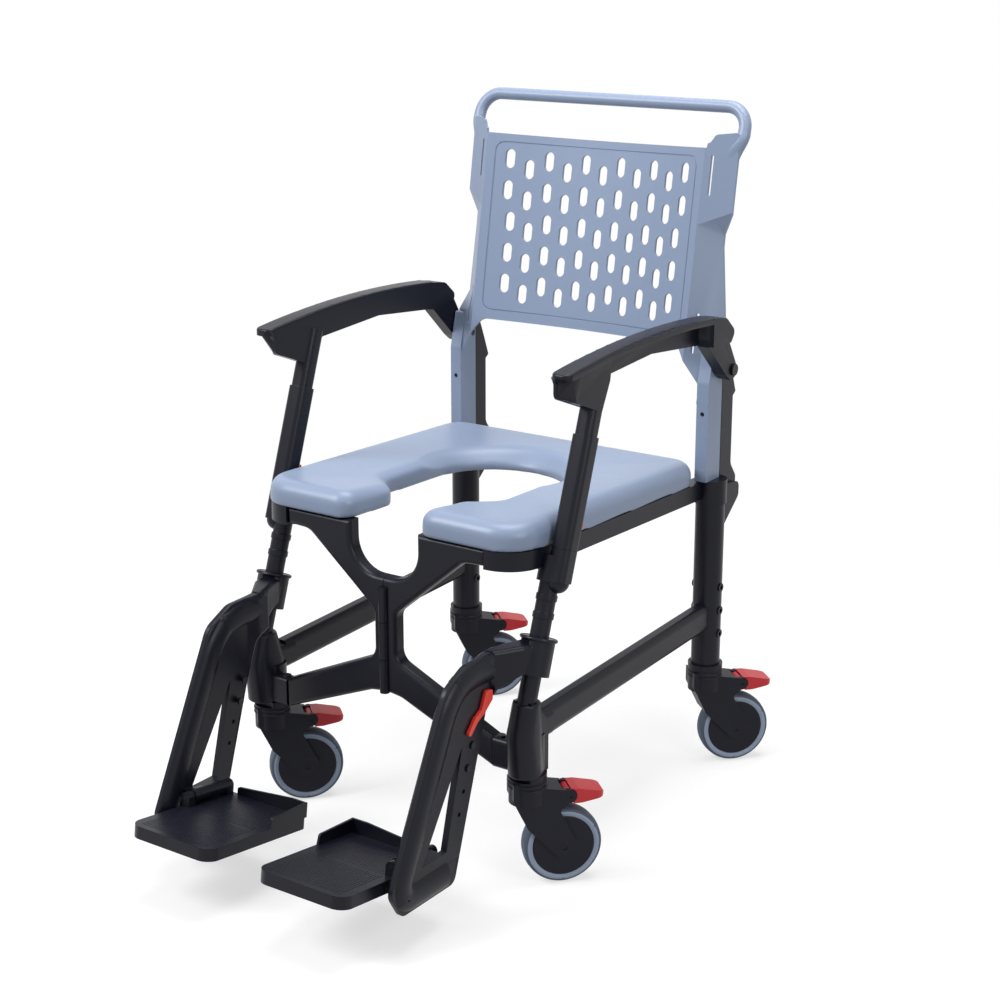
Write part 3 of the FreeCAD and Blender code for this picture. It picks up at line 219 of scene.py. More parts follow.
class ChairSizes(bpy.types.PropertyGroup):
    """Sizes of the visible detail."""
    edge: length("Edge rounding", "Rounding of moulded edges", 0.0014)
    slot_edge: length("Slot rounding", "Rounding of the backrest's slots and edges", 0.0016)
    groove_r: length("Groove radius", "Radius of the backrest's border groove", 0.0015)
    groove_side: length("Groove side inset", "Groove from the panel's side", 0.016)
    groove_top: length("Groove top", "Groove's upper line over the backrest's middle", 0.2455)
    groove_bottom: length("Groove bottom", "Groove's lower line under the backrest's middle", 0.049)
    groove_corner: length("Groove corner", "Rounding of the groove's corners", 0.016)
    fold_apex: length("Fold apex", "Inner end of the wing's facet over the backrest's middle", 0.1345)
    fold_half: length("Fold half", "Half height of the wing's facet at its outer edge", 0.0245)
    fold_end: length("Fold end", "Where the folded wing comes back to its plane", -0.055)
    fold_depth: length("Fold depth", "How far the folded wing turns back at its edge", 0.027)
    top_drop: length("Top drop", "Panel's upper edge under the wings' corners", 0.007)
    seat_cell: length("Seat cell", "Mesh size of the seat's moulding", 0.0038)
    dish_depth: length("Dish depth", "Hollow of the seat's top", 0.008)
    dish_run: length("Dish run", "Distance from the seat's edge to the full hollow", 0.13)
    rib_pitch: length("Rib pitch", "Spacing of the ribs on a footplate", 0.0050)
    rib_r: length("Rib radius", "Half width of a rib", 0.0013)
    rib_length: length("Rib length", "Length of one row of ribs on a footplate", 0.096)
    rim_r: length("Rim radius", "Half thickness of a hanger's rolled rim", 0.0127)
    flange_r: length("Flange radius", "Radius of the flange on a hanger's ring", 0.0265)
    flange_thick: length("Flange thickness", "Half thickness of that flange", 0.003)
    hoop_r: length("Hoop radius", "Radius of the rings round a caster's head", 0.0289)
    hoop_thick: length("Hoop thickness", "Half thickness of a caster ring", 0.0019)
    hoop_pitch: length("Hoop pitch", "Spacing of the caster rings", 0.0075)
    bolt_r: length("Bolt radius", "Corner radius of a bolt head", 0.0075)
    bolt_h: length("Bolt height", "Height of a bolt head", 0.006)


class ChairStage(bpy.types.PropertyGroup):
    """Camera and light."""
    lens: bpy.props.FloatProperty(name="Lens", description="Focal length in millimetres", default=69.48)
    azimuth: bpy.props.FloatProperty(
        name="Azimuth", description="Camera's turn round the chair", subtype="ANGLE", default=0.60809)
    elevation: bpy.props.FloatProperty(
        name="Elevation", description="Camera's rise", subtype="ANGLE", default=0.29091)
    eye: bpy.props.FloatVectorProperty(
        name="Eye", description="Camera's place", subtype="TRANSLATION", size=3,
        default=(1.7624, -2.5129, 1.4237))
    sky: bpy.props.FloatProperty(name="Sky", description="Even light from all round", default=0.27)


class Wire:
    """A shader socket that takes part in Python expressions."""

    def __init__(self, sheet, socket):
        self.sheet = sheet
        self.socket = socket

    def maths(self, operation, first, second):
        return self.sheet.node("ShaderNodeMath", {"operation": operation}, {0: first, 1: second})

    def __add__(self, other):
        return self.maths("ADD", self, other)

    def __sub__(self, other):
        return self.maths("SUBTRACT", self, other)

    def __rsub__(self, other):
        return self.maths("SUBTRACT", other, self)

    def __mul__(self, other):
        return self.maths("MULTIPLY", self, other)

    __radd__ = __add__
    __rmul__ = __mul__


class Sheet:
    """A node tree that is written as expressions."""

    def __init__(self, tree):
        self.tree = tree

    def socket(self, sockets, key):
        """Socket by place, identifier or name."""
        if isinstance(key, int):
            return sockets[key]
        for socket in sockets:
            if socket.identifier == key:
                return socket
        return sockets[key]

    def node(self, kind, settings=None, inputs=None, output=0):
        """One node: its settings first, then its inputs, and the output that is wanted."""
        node = self.tree.nodes.new(kind)
        for key, value in (settings or {}).items():
            setattr(node, key, value)
        for key, value in (inputs or {}).items():
            socket = self.socket(node.inputs, key)
            if isinstance(value, Wire):
                self.tree.links.new(value.socket, socket)
            else:
                socket.default_value = value
        if output is None:
            return node
        return Wire(self, self.socket(node.outputs, output))

    def seen(self):
        """One where the camera, a reflection or a transmission looks, else nothing."""
        camera = self.node("ShaderNodeLightPath", None, None, "Is Camera Ray")
        glossy = self.node("ShaderNodeLightPath", None, None, "Is Glossy Ray")
        through = self.node("ShaderNodeLightPath", None, None, "Is Transmission Ray")
        return camera.maths("MAXIMUM", camera.maths("MAXIMUM", camera, glossy), through)


class Recipe(Sheet):
    """A geometry node group with named inputs and one finished mesh."""

    def __init__(self, name, inputs):
        super().__init__(bpy.data.node_groups.new(name, "GeometryNodeTree"))
        interface = self.tree.interface
        interface.new_socket("Geometry", in_out="INPUT", socket_type="NodeSocketGeometry")
        self.keys = {}
        for label, kind in inputs:
            self.keys[label] = interface.new_socket(label, in_out="INPUT", socket_type=kind).identifier
        interface.new_socket("Geometry", in_out="OUTPUT", socket_type="NodeSocketGeometry")
        self.door = self.tree.nodes.new("NodeGroupInput")

    def given(self, label):
        """Wire from a named input."""
        return Wire(self, self.door.outputs[label])

    def end(self, geometry):
        """Real mesh with its finish."""
        real = self.node("GeometryNodeRealizeInstances", None, {"Geometry": geometry}, "Geometry")
        done = self.node("GeometryNodeSetMaterial", None, {
            "Geometry": real, "Material": self.given("Finish")}, "Geometry")
        self.node("NodeGroupOutput", None, {"Geometry": done}, None)

    def made(self, piece, **values):
        """Run the recipe on a piece and keep the plain mesh."""
        modifier = piece.modifiers.new(self.tree.name, "NODES")
        modifier.node_group = self.tree
        for label, key in self.keys.items():
            modifier[key] = values[label]
        return plain_mesh(piece)


class Finish(Sheet):
    """A material."""

    def __init__(self, name):
        self.material = bpy.data.materials.new(name)
        self.material.use_nodes = True
        super().__init__(self.material.node_tree)
        self.tree.nodes.clear()

    def noise(self, place, size, detail, rough):
        """Noise whose features are about the given size in metres."""
        return self.node("ShaderNodeTexNoise", None, {
            "Vector": place, "Scale": 1.0 / size, "Detail": detail, "Roughness": rough}, "Fac")

    def blend(self, low, high, factor):
        """Colour between two colours."""
        return self.node("ShaderNodeMix", {"data_type": "RGBA"}, {
            "Factor_Float": factor, "A_Color": low, "B_Color": high}, "Result_Color")

    def surface(self, shader):
        """End of the tree."""
        self.node("ShaderNodeOutputMaterial", None, {"Surface": shader}, None)
        return self.material


def tinted(colour, share):
    """Colour made darker or paler by a share, with full alpha."""
    return tuple(min(1.0, channel * (1 + share)) for channel in colour) + (1.0,)


FINISHES = {}


def moulded_plastic(name, colour, roughness, grain, depth, gloss, drift):
    """Injection-moulded plastic: fine etched grain, slow drift of tone and gloss."""
    finish = Finish(name)
    place = finish.node("ShaderNodeTexCoord", None, None, "Object")
    etched = finish.noise(place, grain, detail=3.0, rough=0.55)
    slow = finish.noise(place, size=0.09, detail=2.0, rough=0.5)
    rubbed = finish.noise(place, size=0.018, detail=4.0, rough=0.6)
    base = finish.blend(tinted(colour, -drift), tinted(colour, drift), slow * 0.7 + etched * 0.3)
    rough = roughness + (rubbed - 0.5) * 0.10 + (etched - 0.5) * 0.12
    bump = finish.node("ShaderNodeBump", None, {"Strength": 0.55, "Distance": depth, "Height": etched})
    shader = finish.node("ShaderNodeBsdfPrincipled", None, {
        "Base Color": base, "Roughness": rough, "Normal": bump, "IOR": 1.46,
        "Specular IOR Level": gloss}, "BSDF")
    FINISHES[name] = finish.surface(shader)


def rubber(name, colour, roughness):
    """Tyre rubber: matt, with fine specks and rolled dust."""
    finish = Finish(name)
    place = finish.node("ShaderNodeTexCoord", None, None, "Object")
    speck = finish.noise(place, size=0.0011, detail=3.0, rough=0.6)
    dust = finish.noise(place, size=0.022, detail=4.0, rough=0.6)
    base = finish.blend(tinted(colour, -0.10), tinted(colour, 0.12), dust * 0.6 + speck * 0.4)
    rough = roughness + (dust - 0.5) * 0.14
    bump = finish.node("ShaderNodeBump", None, {"Strength": 0.4, "Distance": 0.0002, "Height": speck})
    shader = finish.node("ShaderNodeBsdfPrincipled", None, {
        "Base Color": base, "Roughness": rough, "Normal": bump, "Specular IOR Level": 0.35}, "BSDF")
    FINISHES[name] = finish.surface(shader)


def plated_steel(name, colour):
    """Blackened steel with turning marks."""
    finish = Finish(name)
    place = finish.node("ShaderNodeTexCoord", None, None, "Object")
    marks = finish.noise(place, size=0.0016, detail=4.0, rough=0.65)
    blotch = finish.noise(place, size=0.012, detail=3.0, rough=0.5)
    base = finish.blend(tinted(colour, -0.2), tinted(colour, 0.25), blotch)
    rough = 0.30 + marks * 0.16
    bump = finish.node("ShaderNodeBump", None, {"Strength": 0.3, "Distance": 0.0001, "Height": marks})
    shader = finish.node("ShaderNodeBsdfPrincipled", None, {
        "Base Color": base, "Roughness": rough, "Normal": bump, "Metallic": 0.9}, "BSDF")
    FINISHES[name] = finish.surface(shader)


def make_finishes(colours):
    """All the chair's finishes."""
    moulded_plastic(
        "grey_plastic", colours.grey, roughness=0.36, grain=0.0011, depth=0.00010, gloss=0.45, drift=0.025)
    moulded_plastic(
        "black_plastic", colours.black, roughness=0.34, grain=0.0010, depth=0.00014, gloss=0.24, drift=0.12)
    moulded_plastic(
        "hub_plastic", colours.hub, roughness=0.45, grain=0.0012, depth=0.00014, gloss=0.22, drift=0.12)
    moulded_plastic(
        "pedal_plastic", colours.pedal, roughness=0.40, grain=0.0012, depth=0.00010, gloss=0.45, drift=0.06)
    moulded_plastic(
        "lever_plastic", colours.lever, roughness=0.34, grain=0.0012, depth=0.00008, gloss=0.5, drift=0.05)
    rubber("tyre_tread", colours.tread, roughness=0.62)
    rubber("tyre_side", colours.tyre_side, roughness=0.55)
    plated_steel("dark_steel", colours.steel)


def linked(name, mesh):
    """Object for a finished mesh, in the scene, at the origin."""
    piece = bpy.data.objects.new(name, mesh)
    bpy.context.scene.collection.objects.link(piece)
    return piece


def plain_mesh(piece):
    """Turn a piece with modifiers into one plain mesh."""
    graph = bpy.context.evaluated_depsgraph_get()
    mesh = bpy.data.meshes.new_from_object(piece.evaluated_get(graph))
    mesh.name = piece.name
    if piece.type == "CURVE":
        bpy.data.objects.remove(piece)
        return linked(mesh.name, mesh)
    piece.modifiers.clear()
    piece.data = mesh
    return piece


def merged(node):
    """Welded working copy of a node's loose triangles."""
    work = bmesh.new()
    work.from_mesh(NODES[node].data)
    bmesh.ops.remove_doubles(work, verts=work.verts, dist=WELD)
    return work


def copied(node, reshape=None):
    """Working piece with a node's welded mesh."""
    work = merged(node)
    bmesh.ops.dissolve_limit(work, angle_limit=FLAT, verts=work.verts, edges=work.edges)
    if reshape:
        reshape(work)
    mesh = bpy.data.meshes.new(node + "_moulding")
    work.to_mesh(mesh)
    work.free()
    return linked(node + "_moulding", mesh)


def rounded(piece, edge, segments=2, angle=MOULDED_SHARP):
    """Round a piece's sharp edges."""
    bevel = piece.modifiers.new("rounding", "BEVEL")
    bevel.width = edge
    bevel.segments = segments
    bevel.limit_method = "ANGLE"
    bevel.angle_limit = math.radians(angle)
    bevel.use_clamp_overlap = True
    bevel.miter_outer = "MITER_ARC"
    plain_mesh(piece)


def carved(piece, cutter):
    """Take a cutter's shape out of a piece."""
    cut = piece.modifiers.new("cut", "BOOLEAN")
    cut.operation = "DIFFERENCE"
    cut.solver = "EXACT"
    cut.object = cutter
    plain_mesh(piece)
    bpy.data.objects.remove(cutter)


def hull_mesh(name, points):
    """Closed skin stretched round points."""
    work = bmesh.new()
    for point in points:
        work.verts.new(point)
    hull = bmesh.ops.convex_hull(work, input=work.verts)
    bmesh.ops.delete(work, geom=hull["geom_interior"], context="VERTS")
    bmesh.ops.dissolve_limit(work, angle_limit=SKIN_FLAT, verts=work.verts, edges=work.edges)
    mesh = bpy.data.meshes.new(name)
    work.to_mesh(mesh)
    work.free()
    return mesh


def moulded_copy(node, finish, edge, angle=MOULDED_SHARP, reshape=None):
    """Copy of a node with its sharp edges rounded, standing for the node."""
    piece = copied(node, reshape)
    if edge:
        rounded(piece, edge, angle=angle)
    soften(piece, angle)
    return settle(piece, body_of_node(node), finish, node)


def smooth_step(share):
    """Ease from nothing to one."""
    share = min(1.0, max(0.0, share))
    return share * share * (3 - 2 * share)


def soft_seat(sizes):
    """Seat with a broad roll at its edges and a hollow top."""
    piece = copied("seat")
    cells = piece.modifiers.new("cells", "REMESH")
    cells.mode = "VOXEL"
    cells.voxel_size = sizes.seat_cell
    ease = piece.modifiers.new("ease", "SMOOTH")
    ease.factor = SEAT_EASE
    ease.iterations = SEAT_EASE_ROUNDS
    plain_mesh(piece)
    mesh = piece.data
    places = [vertex.co.copy() for vertex in mesh.vertices]
    low = Vector([min(place[axis] for place in places) for axis in range(3)])
    high = Vector([max(place[axis] for place in places) for axis in range(3)])
    middle = (low.z + high.z) / 2
    for vertex in mesh.vertices:
        place = vertex.co
        inset = min(high.x - abs(place.x), place.y - low.y, high.y - place.y)
        share = smooth_step(inset / sizes.dish_run) * smooth_step((place.z - middle) / (high.z - middle))
        place.z -= sizes.dish_depth * share
    mesh.polygons.foreach_set("use_smooth", [True] * len(mesh.polygons))
    settle(piece, body_of_node("seat"), "grey_plastic", "seat")


def on_back(x, rise):
    """Point on the backrest panel's front face, at a height along the panel from its middle."""
    radius = (BACK_HALF_W ** 2 + BACK_SAG ** 2) / (2 * BACK_SAG)
    depth = math.sqrt(radius ** 2 - x ** 2) - radius
    return leaned(x, depth, rise)


def leaned(x, depth, rise):
    """Place of a point that is given upright from the backrest's middle."""
    cos = math.cos(BACK_RECLINE)
    sin = math.sin(BACK_RECLINE)
    return BACK_CENTRE + Vector((x, depth * cos + rise * sin, rise * cos - depth * sin))


def upright_rise(place):
    """Height of a point along the panel from its middle."""
    away = place - BACK_CENTRE
    return away.z * math.cos(BACK_RECLINE) + away.y * math.sin(BACK_RECLINE)


def split(work, faces, place, normal):
    """Cut some faces along a plane and keep both sides."""
    edges = {edge for face in faces for edge in face.edges}
    verts = {vert for face in faces for vert in face.verts}
    bmesh.ops.bisect_plane(work, geom=list(verts) + list(edges) + list(faces), dist=CUT_LIMIT,
                           plane_co=place, plane_no=normal)


def fold_wings(work, sizes):
    """Turn the wings' lower part back under a three-cornered facet, and drop the panel's upper edge."""
    up = Vector((0, math.sin(BACK_RECLINE), math.cos(BACK_RECLINE)))
    inner_x = BACK_HALF_W + WING_MARGIN
    for sign in SIDES.values():
        slant = Vector((sign * sizes.fold_half, 0, 0))
        cuts = [(sizes.fold_apex, up * WING_W - slant), (sizes.fold_apex, up * WING_W + slant)]
        cuts += [(sizes.fold_end + FOLD_RUN_OUT, up), (sizes.fold_end, up)]
        for rise, normal in cuts:
            wing = [face for face in work.faces if sign * face.calc_center_median().x > inner_x]
            split(work, wing, leaned(sign * BACK_HALF_W, 0, rise), normal)
    for vert in work.verts:
        out = (abs(vert.co.x) - BACK_HALF_W) / WING_W
        rise = upright_rise(vert.co)
        if out > WING_ROOT_SHARE and rise > sizes.fold_end:
            half = sizes.fold_half * out
            down = min(1.0, max(0.0, (sizes.fold_apex + half - rise) / (2 * half)))
            back = min(1.0, (rise - sizes.fold_end) / FOLD_RUN_OUT)
            vert.co.y += sizes.fold_depth * out * down * back
        elif out < PANEL_END_SHARE and PANEL_TOP_RISE[0] < rise < PANEL_TOP_RISE[1]:
            vert.co -= up * sizes.top_drop


def groove_path(sizes):
    """Closed line round the panel, on its front face."""
    half_w = BACK_HALF_W - sizes.groove_side
    corner = sizes.groove_corner
    middle = (sizes.groove_top - sizes.groove_bottom) / 2
    half_h = (sizes.groove_top + sizes.groove_bottom) / 2
    points = []
    for start, sign_x, sign_z in ((0, 1, 1), (90, -1, 1), (180, -1, -1), (270, 1, -1)):
        for step in range(GROOVE_CORNER_STEPS + 1):
            angle = math.radians(start + 90 * step / GROOVE_CORNER_STEPS)
            points.append((sign_x * (half_w - corner) + corner * math.cos(angle),
                           middle + sign_z * (half_h - corner) + corner * math.sin(angle)))
    line = []
    for i, (x, rise) in enumerate(points):
        next_x, next_rise = points[(i + 1) % len(points)]
        steps = max(1, round(abs(next_x - x) / GROOVE_STEP))
        for step in range(steps):
            share = step / steps
            line.append(on_back(x + (next_x - x) * share, rise + (next_rise - rise) * share))
    return line


def path_piece(name, line, closed=True):
    """Curve through points."""
    curve = bpy.data.curves.new(name, "CURVE")
    curve.dimensions = "3D"
    spline = curve.splines.new("POLY")
    spline.points.add(len(line) - 1)
    for point, place in zip(spline.points, line):
        point.co = (*place, 1.0)
    spline.use_cyclic_u = closed
    return linked(name, curve)


def cord_recipe():
    """Round or oval cord along a path."""
    recipe = Recipe("cord", (
        ("Radius", "NodeSocketFloat"), ("Stretch", "NodeSocketFloat"), ("Finish", "NodeSocketMaterial")))
    ring = recipe.node("GeometryNodeCurvePrimitiveCircle", None, {
        "Resolution": 28, "Radius": recipe.given("Radius")}, "Curve")
    scale = recipe.node("ShaderNodeCombineXYZ", None, {
        "X": 1.0, "Y": recipe.given("Stretch"), "Z": 1.0}, "Vector")
    oval = recipe.node("GeometryNodeTransform", None, {"Geometry": ring, "Scale": scale}, "Geometry")
    recipe.end(recipe.node("GeometryNodeCurveToMesh", None, {
        "Curve": recipe.given("Geometry"), "Profile Curve": oval, "Fill Caps": True}, "Mesh"))
    return recipe


def bent_line(corners, steps=10):
    """Points along an open line of corners (a, b, reach), each corner eased over its reach."""
    points = [Vector(corners[0][:2])]
    for before, (a, b, reach), after in zip(corners, corners[1:], corners[2:]):
        corner = Vector((a, b))
        start = corner + (Vector(before[:2]) - corner).normalized() * reach
        end = corner + (Vector(after[:2]) - corner).normalized() * reach
        for step in range(steps + 1):
            share = step / steps
            points.append(start.lerp(corner, share).lerp(corner.lerp(end, share), share))
    points.append(Vector(corners[-1][:2]))
    return points


def flatten_web(work):
    """Thin a hanger's web behind its rim, easing out towards the shoulder."""
    for step in range(WEB_CUTS + 1):
        place = Vector((0, WEB_START_Y - WEB_EASE * step / WEB_CUTS, 0))
        split(work, list(work.faces), place, Vector((0, 1, 0)))
    for vert in work.verts:
        across = abs(vert.co.x)
        share = smooth_step((WEB_START_Y - vert.co.y) / WEB_EASE)
        if across > WEB_REACH:
            if across < WEB_FLOOR_X:
                thin = WEB_FLOOR_X - (WEB_FLOOR_X - across) * WEB_INNER_SHARE
            else:
                thin = WEB_FLOOR_X + (across - WEB_FLOOR_X) * WEB_OUTER_SHARE
            vert.co.x = math.copysign(across + (thin - across) * share, vert.co.x)
    bmesh.ops.remove_doubles(work, verts=work.verts, dist=WEB_WELD)
    bmesh.ops.dissolve_degenerate(work, edges=work.edges, dist=WEB_THINNEST)
    bmesh.ops.dissolve_limit(work, angle_limit=FLAT, verts=work.verts, edges=work.edges)


def trim_foot(work):
    """Take off the sleeve's flare, which the casing stands for."""
    cut = bmesh.ops.bisect_plane(
        work, geom=list(work.verts) + list(work.edges) + list(work.faces), dist=CUT_LIMIT,
        plane_co=(0, FOOT_TRIM_Y, 0), plane_no=(0, -1, 0), clear_outer=True)
    rim = [item for item in cut["geom_cut"] if isinstance(item, bmesh.types.BMEdge)]
    bmesh.ops.holes_fill(work, edges=rim, sides=0)


def lift_rail(work):
    """Let a lower side rail rise towards the rear and stand a little taller."""
    for vert in work.verts:
        share = (vert.co.y + HALF_WHEELBASE) / (2 * HALF_WHEELBASE)
        vert.co.z = RAIL_Z + (vert.co.z - RAIL_Z) * RAIL_GROWTH + RAIL_RISE * share


def longer_tab(work):
    """Let a release button stand further out of its post."""
    reach = max(vert.co.y for vert in work.verts)
    for vert in work.verts:
        if vert.co.y > reach - TAB_DEPTH:
            vert.co.y += TAB_REACH


def ring_points(centre, radius, height, count=28):
    """Level ring of points."""
    turns = [2 * math.pi * i / count for i in range(count)]
    return [(centre[0] + radius * math.cos(t), centre[1] + radius * math.sin(t), height) for t in turns]


def foot_points(sign):
    """Points round the leg's sleeve and the caster's column."""
    points = []
    for x, y, radius, height in FOOT_RINGS:
        points += ring_points((sign * x, y), radius, height)
    return points


def nose_points(node):
    """Points just inside an armrest, behind its lip."""
    work = merged(node)
    tip = min(vert.co.y for vert in work.verts)
    points = [vert.co.copy() for vert in work.verts if tip + NOSE_START < vert.co.y < tip + NOSE_END]
    work.free()
    middle = sum(points, Vector()) / len(points)
    return [middle.lerp(point, NOSE_SHARE) for point in points]


def casing(name, points, node):
    """Rounded black skin round points, on the body that carries a node."""
    piece = linked(name, hull_mesh(name, points))
    rounded(piece, CASING_EDGE, segments=3)
    soften(piece, TRIM_SHARP)
    settle(piece, body_of_node(node), "black_plastic")


def gap_cutter(sign):
    """Wedge for the opening between a hanger's front bar and rear bar."""
    points = [(sign * x, a - HALF_WHEELBASE, b + CASTER_TOP) for x in GAP_X for a, b in GAP_CORNERS]
    return linked("gap", hull_mesh("gap", points))


def row_recipe(name, sizes, shape):
    """Row of equal shapes with named sizes: shape is a function of the recipe."""
    recipe = Recipe(name, tuple((label, "NodeSocketFloat") for label in sizes) + (
        ("Start", "NodeSocketVector"), ("Step", "NodeSocketVector"), ("Count", "NodeSocketInt"),
        ("Finish", "NodeSocketMaterial")))
    row = recipe.node("GeometryNodeMeshLine", {"mode": "OFFSET"}, {
        "Count": recipe.given("Count"), "Start Location": recipe.given("Start"),
        "Offset": recipe.given("Step")}, "Mesh")
    recipe.end(recipe.node("GeometryNodeInstanceOnPoints", None, {
        "Points": row, "Instance": shape(recipe)}, "Instances"))
    return recipe


def rib_shape(recipe):
    """Round-backed rib along Y."""
    end = recipe.node("ShaderNodeCombineXYZ", None, {"Y": recipe.given("Length")}, "Vector")
    line = recipe.node("GeometryNodeCurvePrimitiveLine", None, {"End": end}, "Curve")
    ring = recipe.node("GeometryNodeCurvePrimitiveCircle", None, {
        "Resolution": 8, "Radius": recipe.given("Radius")}, "Curve")
    return recipe.node("GeometryNodeCurveToMesh", None, {
        "Curve": line, "Profile Curve": ring, "Fill Caps": True}, "Mesh")


def hoop_shape(recipe):
    """Level ring of round section."""
    path = recipe.node("GeometryNodeCurvePrimitiveCircle", None, {
        "Resolution": 64, "Radius": recipe.given("Radius")}, "Curve")
    ring = recipe.node("GeometryNodeCurvePrimitiveCircle", None, {
        "Resolution": 10, "Radius": recipe.given("Thickness")}, "Curve")
    return recipe.node("GeometryNodeCurveToMesh", None, {"Curve": path, "Profile Curve": ring}, "Mesh")


def bolt_shape(recipe):
    """Hexagon head."""
    return recipe.node("GeometryNodeMeshCylinder", None, {
        "Vertices": 6, "Radius": recipe.given("Radius"), "Depth": recipe.given("Height")}, "Mesh")


def blank(name):
    """Empty piece for a recipe to fill."""
    return linked(name, bpy.data.meshes.new(name))


def finish_row(piece, body, finish, place=None):
    """Set a row of shapes in its place and give it its body."""
    if place:
        piece.data.transform(place)
    soften(piece, TRIM_SHARP)
    settle(piece, body, finish)


def soften(piece, angle):
    """Smooth shading that keeps flat faces flat and creases crisp."""
    mesh = piece.data
    mesh.polygons.foreach_set("use_smooth", [True] * len(mesh.polygons))
    mesh.set_sharp_from_angle(angle=math.radians(angle))
    weighted = piece.modifiers.new("flat_faces", "WEIGHTED_NORMAL")
    weighted.keep_sharp = True
    weighted.weight = FLAT_WEIGHT
    plain_mesh(piece)


def settle(piece, body, finish, *nodes):
    """Give a piece its finish, its body and the nodes it stands for."""
    piece.data.materials.clear()
    piece.data.materials.append(FINISHES[finish])
    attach(piece, body)
    if nodes:
        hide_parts(*nodes)
    return piece


class ChairOperator(bpy.types.Operator):
    """Base of the chair's operators, each of which can be undone."""
    bl_options = {"REGISTER", "UNDO"}


class CHAIR_OT_finishes(ChairOperator):
    """Make the chair's materials"""
    bl_idname = "chair.finishes"
    bl_label = "Finishes"

    def execute(self, context):
        make_finishes(context.scene.chair_colours)
        return {"FINISHED"}


class CHAIR_OT_seat(ChairOperator):
    """Build the horseshoe seat"""
    bl_idname = "chair.seat"
    bl_label = "Seat"

    def execute(self, context):
        soft_seat(context.scene.chair_sizes)
        return {"FINISHED"}


class CHAIR_OT_backrest(ChairOperator):
    """Build the slotted backrest with its handle"""
    bl_idname = "chair.backrest"
    bl_label = "Backrest"

    def execute(self, context):
        sizes = context.scene.chair_sizes
        piece = copied("backrest", lambda work: fold_wings(work, sizes))
        rounded(piece, sizes.slot_edge)
        path = path_piece("groove", groove_path(sizes))
        carved(piece, cord_recipe().made(
            path, Radius=sizes.groove_r, Stretch=1.0, Finish=FINISHES["grey_plastic"]))
        soften(piece, BACKREST_SHARP)
        settle(piece, body_of_node("backrest"), "grey_plastic", "backrest")
        moulded_copy("back_screws", "dark_steel", 0)
        return {"FINISHED"}


class CHAIR_OT_side_frames(ChairOperator):
    """Build the legs, rails, feet and posts"""
    bl_idname = "chair.side_frames"
    bl_label = "Side frames"

    def execute(self, context):
        sizes = context.scene.chair_sizes
        edge = sizes.edge
        for side in SIDES:
            for part in ("rear_leg", "front_leg", "seat_rail", "back_post"):
                moulded_copy(part + "_" + side, "black_plastic", edge)
            moulded_copy("front_foot_" + side, "black_plastic", edge, reshape=trim_foot)
            moulded_copy("lower_rail_" + side, "black_plastic", edge, reshape=lift_rail)
        for side, sign in SIDES.items():
            casing("foot_fairing_" + side, foot_points(sign), "front_foot_" + side)
        moulded_copy("back_post_pins", "dark_steel", 0)
        recipe = row_recipe("bolt_heads", ("Radius", "Height"), bolt_shape)
        bolts = recipe.made(blank("lug_bolts"), Radius=sizes.bolt_r, Height=sizes.bolt_h, Count=2,
                            Start=LUG_BOLT, Step=(-2 * LUG_BOLT.x, 0, 0), Finish=FINISHES["dark_steel"])
        rounded(bolts, PIN_EDGE)
        finish_row(bolts, body_of_node("front_foot_left"), "dark_steel")
        return {"FINISHED"}


class CHAIR_OT_front_panels(ChairOperator):
    """Build the hinged front panels"""
    bl_idname = "chair.front_panels"
    bl_label = "Front panels"

    def execute(self, context):
        for side in SIDES:
            moulded_copy("front_panel_" + side, "black_plastic", context.scene.chair_sizes.edge)
        moulded_copy("front_hinge_pin", "dark_steel", 0)
        return {"FINISHED"}


class CHAIR_OT_armrests(ChairOperator):
    """Build the armrests, their posts and buttons"""
    bl_idname = "chair.armrests"
    bl_label = "Armrests"

    def execute(self, context):
        edge = context.scene.chair_sizes.edge
        for side in SIDES:
            moulded_copy("armrest_" + side, "black_plastic", 0, angle=ARMREST_SHARP)
            casing("armrest_nose_" + side, nose_points("armrest_" + side), "armrest_" + side)
            moulded_copy("armrest_post_" + side, "black_plastic", edge)
            moulded_copy("armrest_release_" + side, "lever_plastic", LEVER_EDGE, reshape=longer_tab)
        moulded_copy("armrest_pivots", "dark_steel", PIN_EDGE)
        return {"FINISHED"}


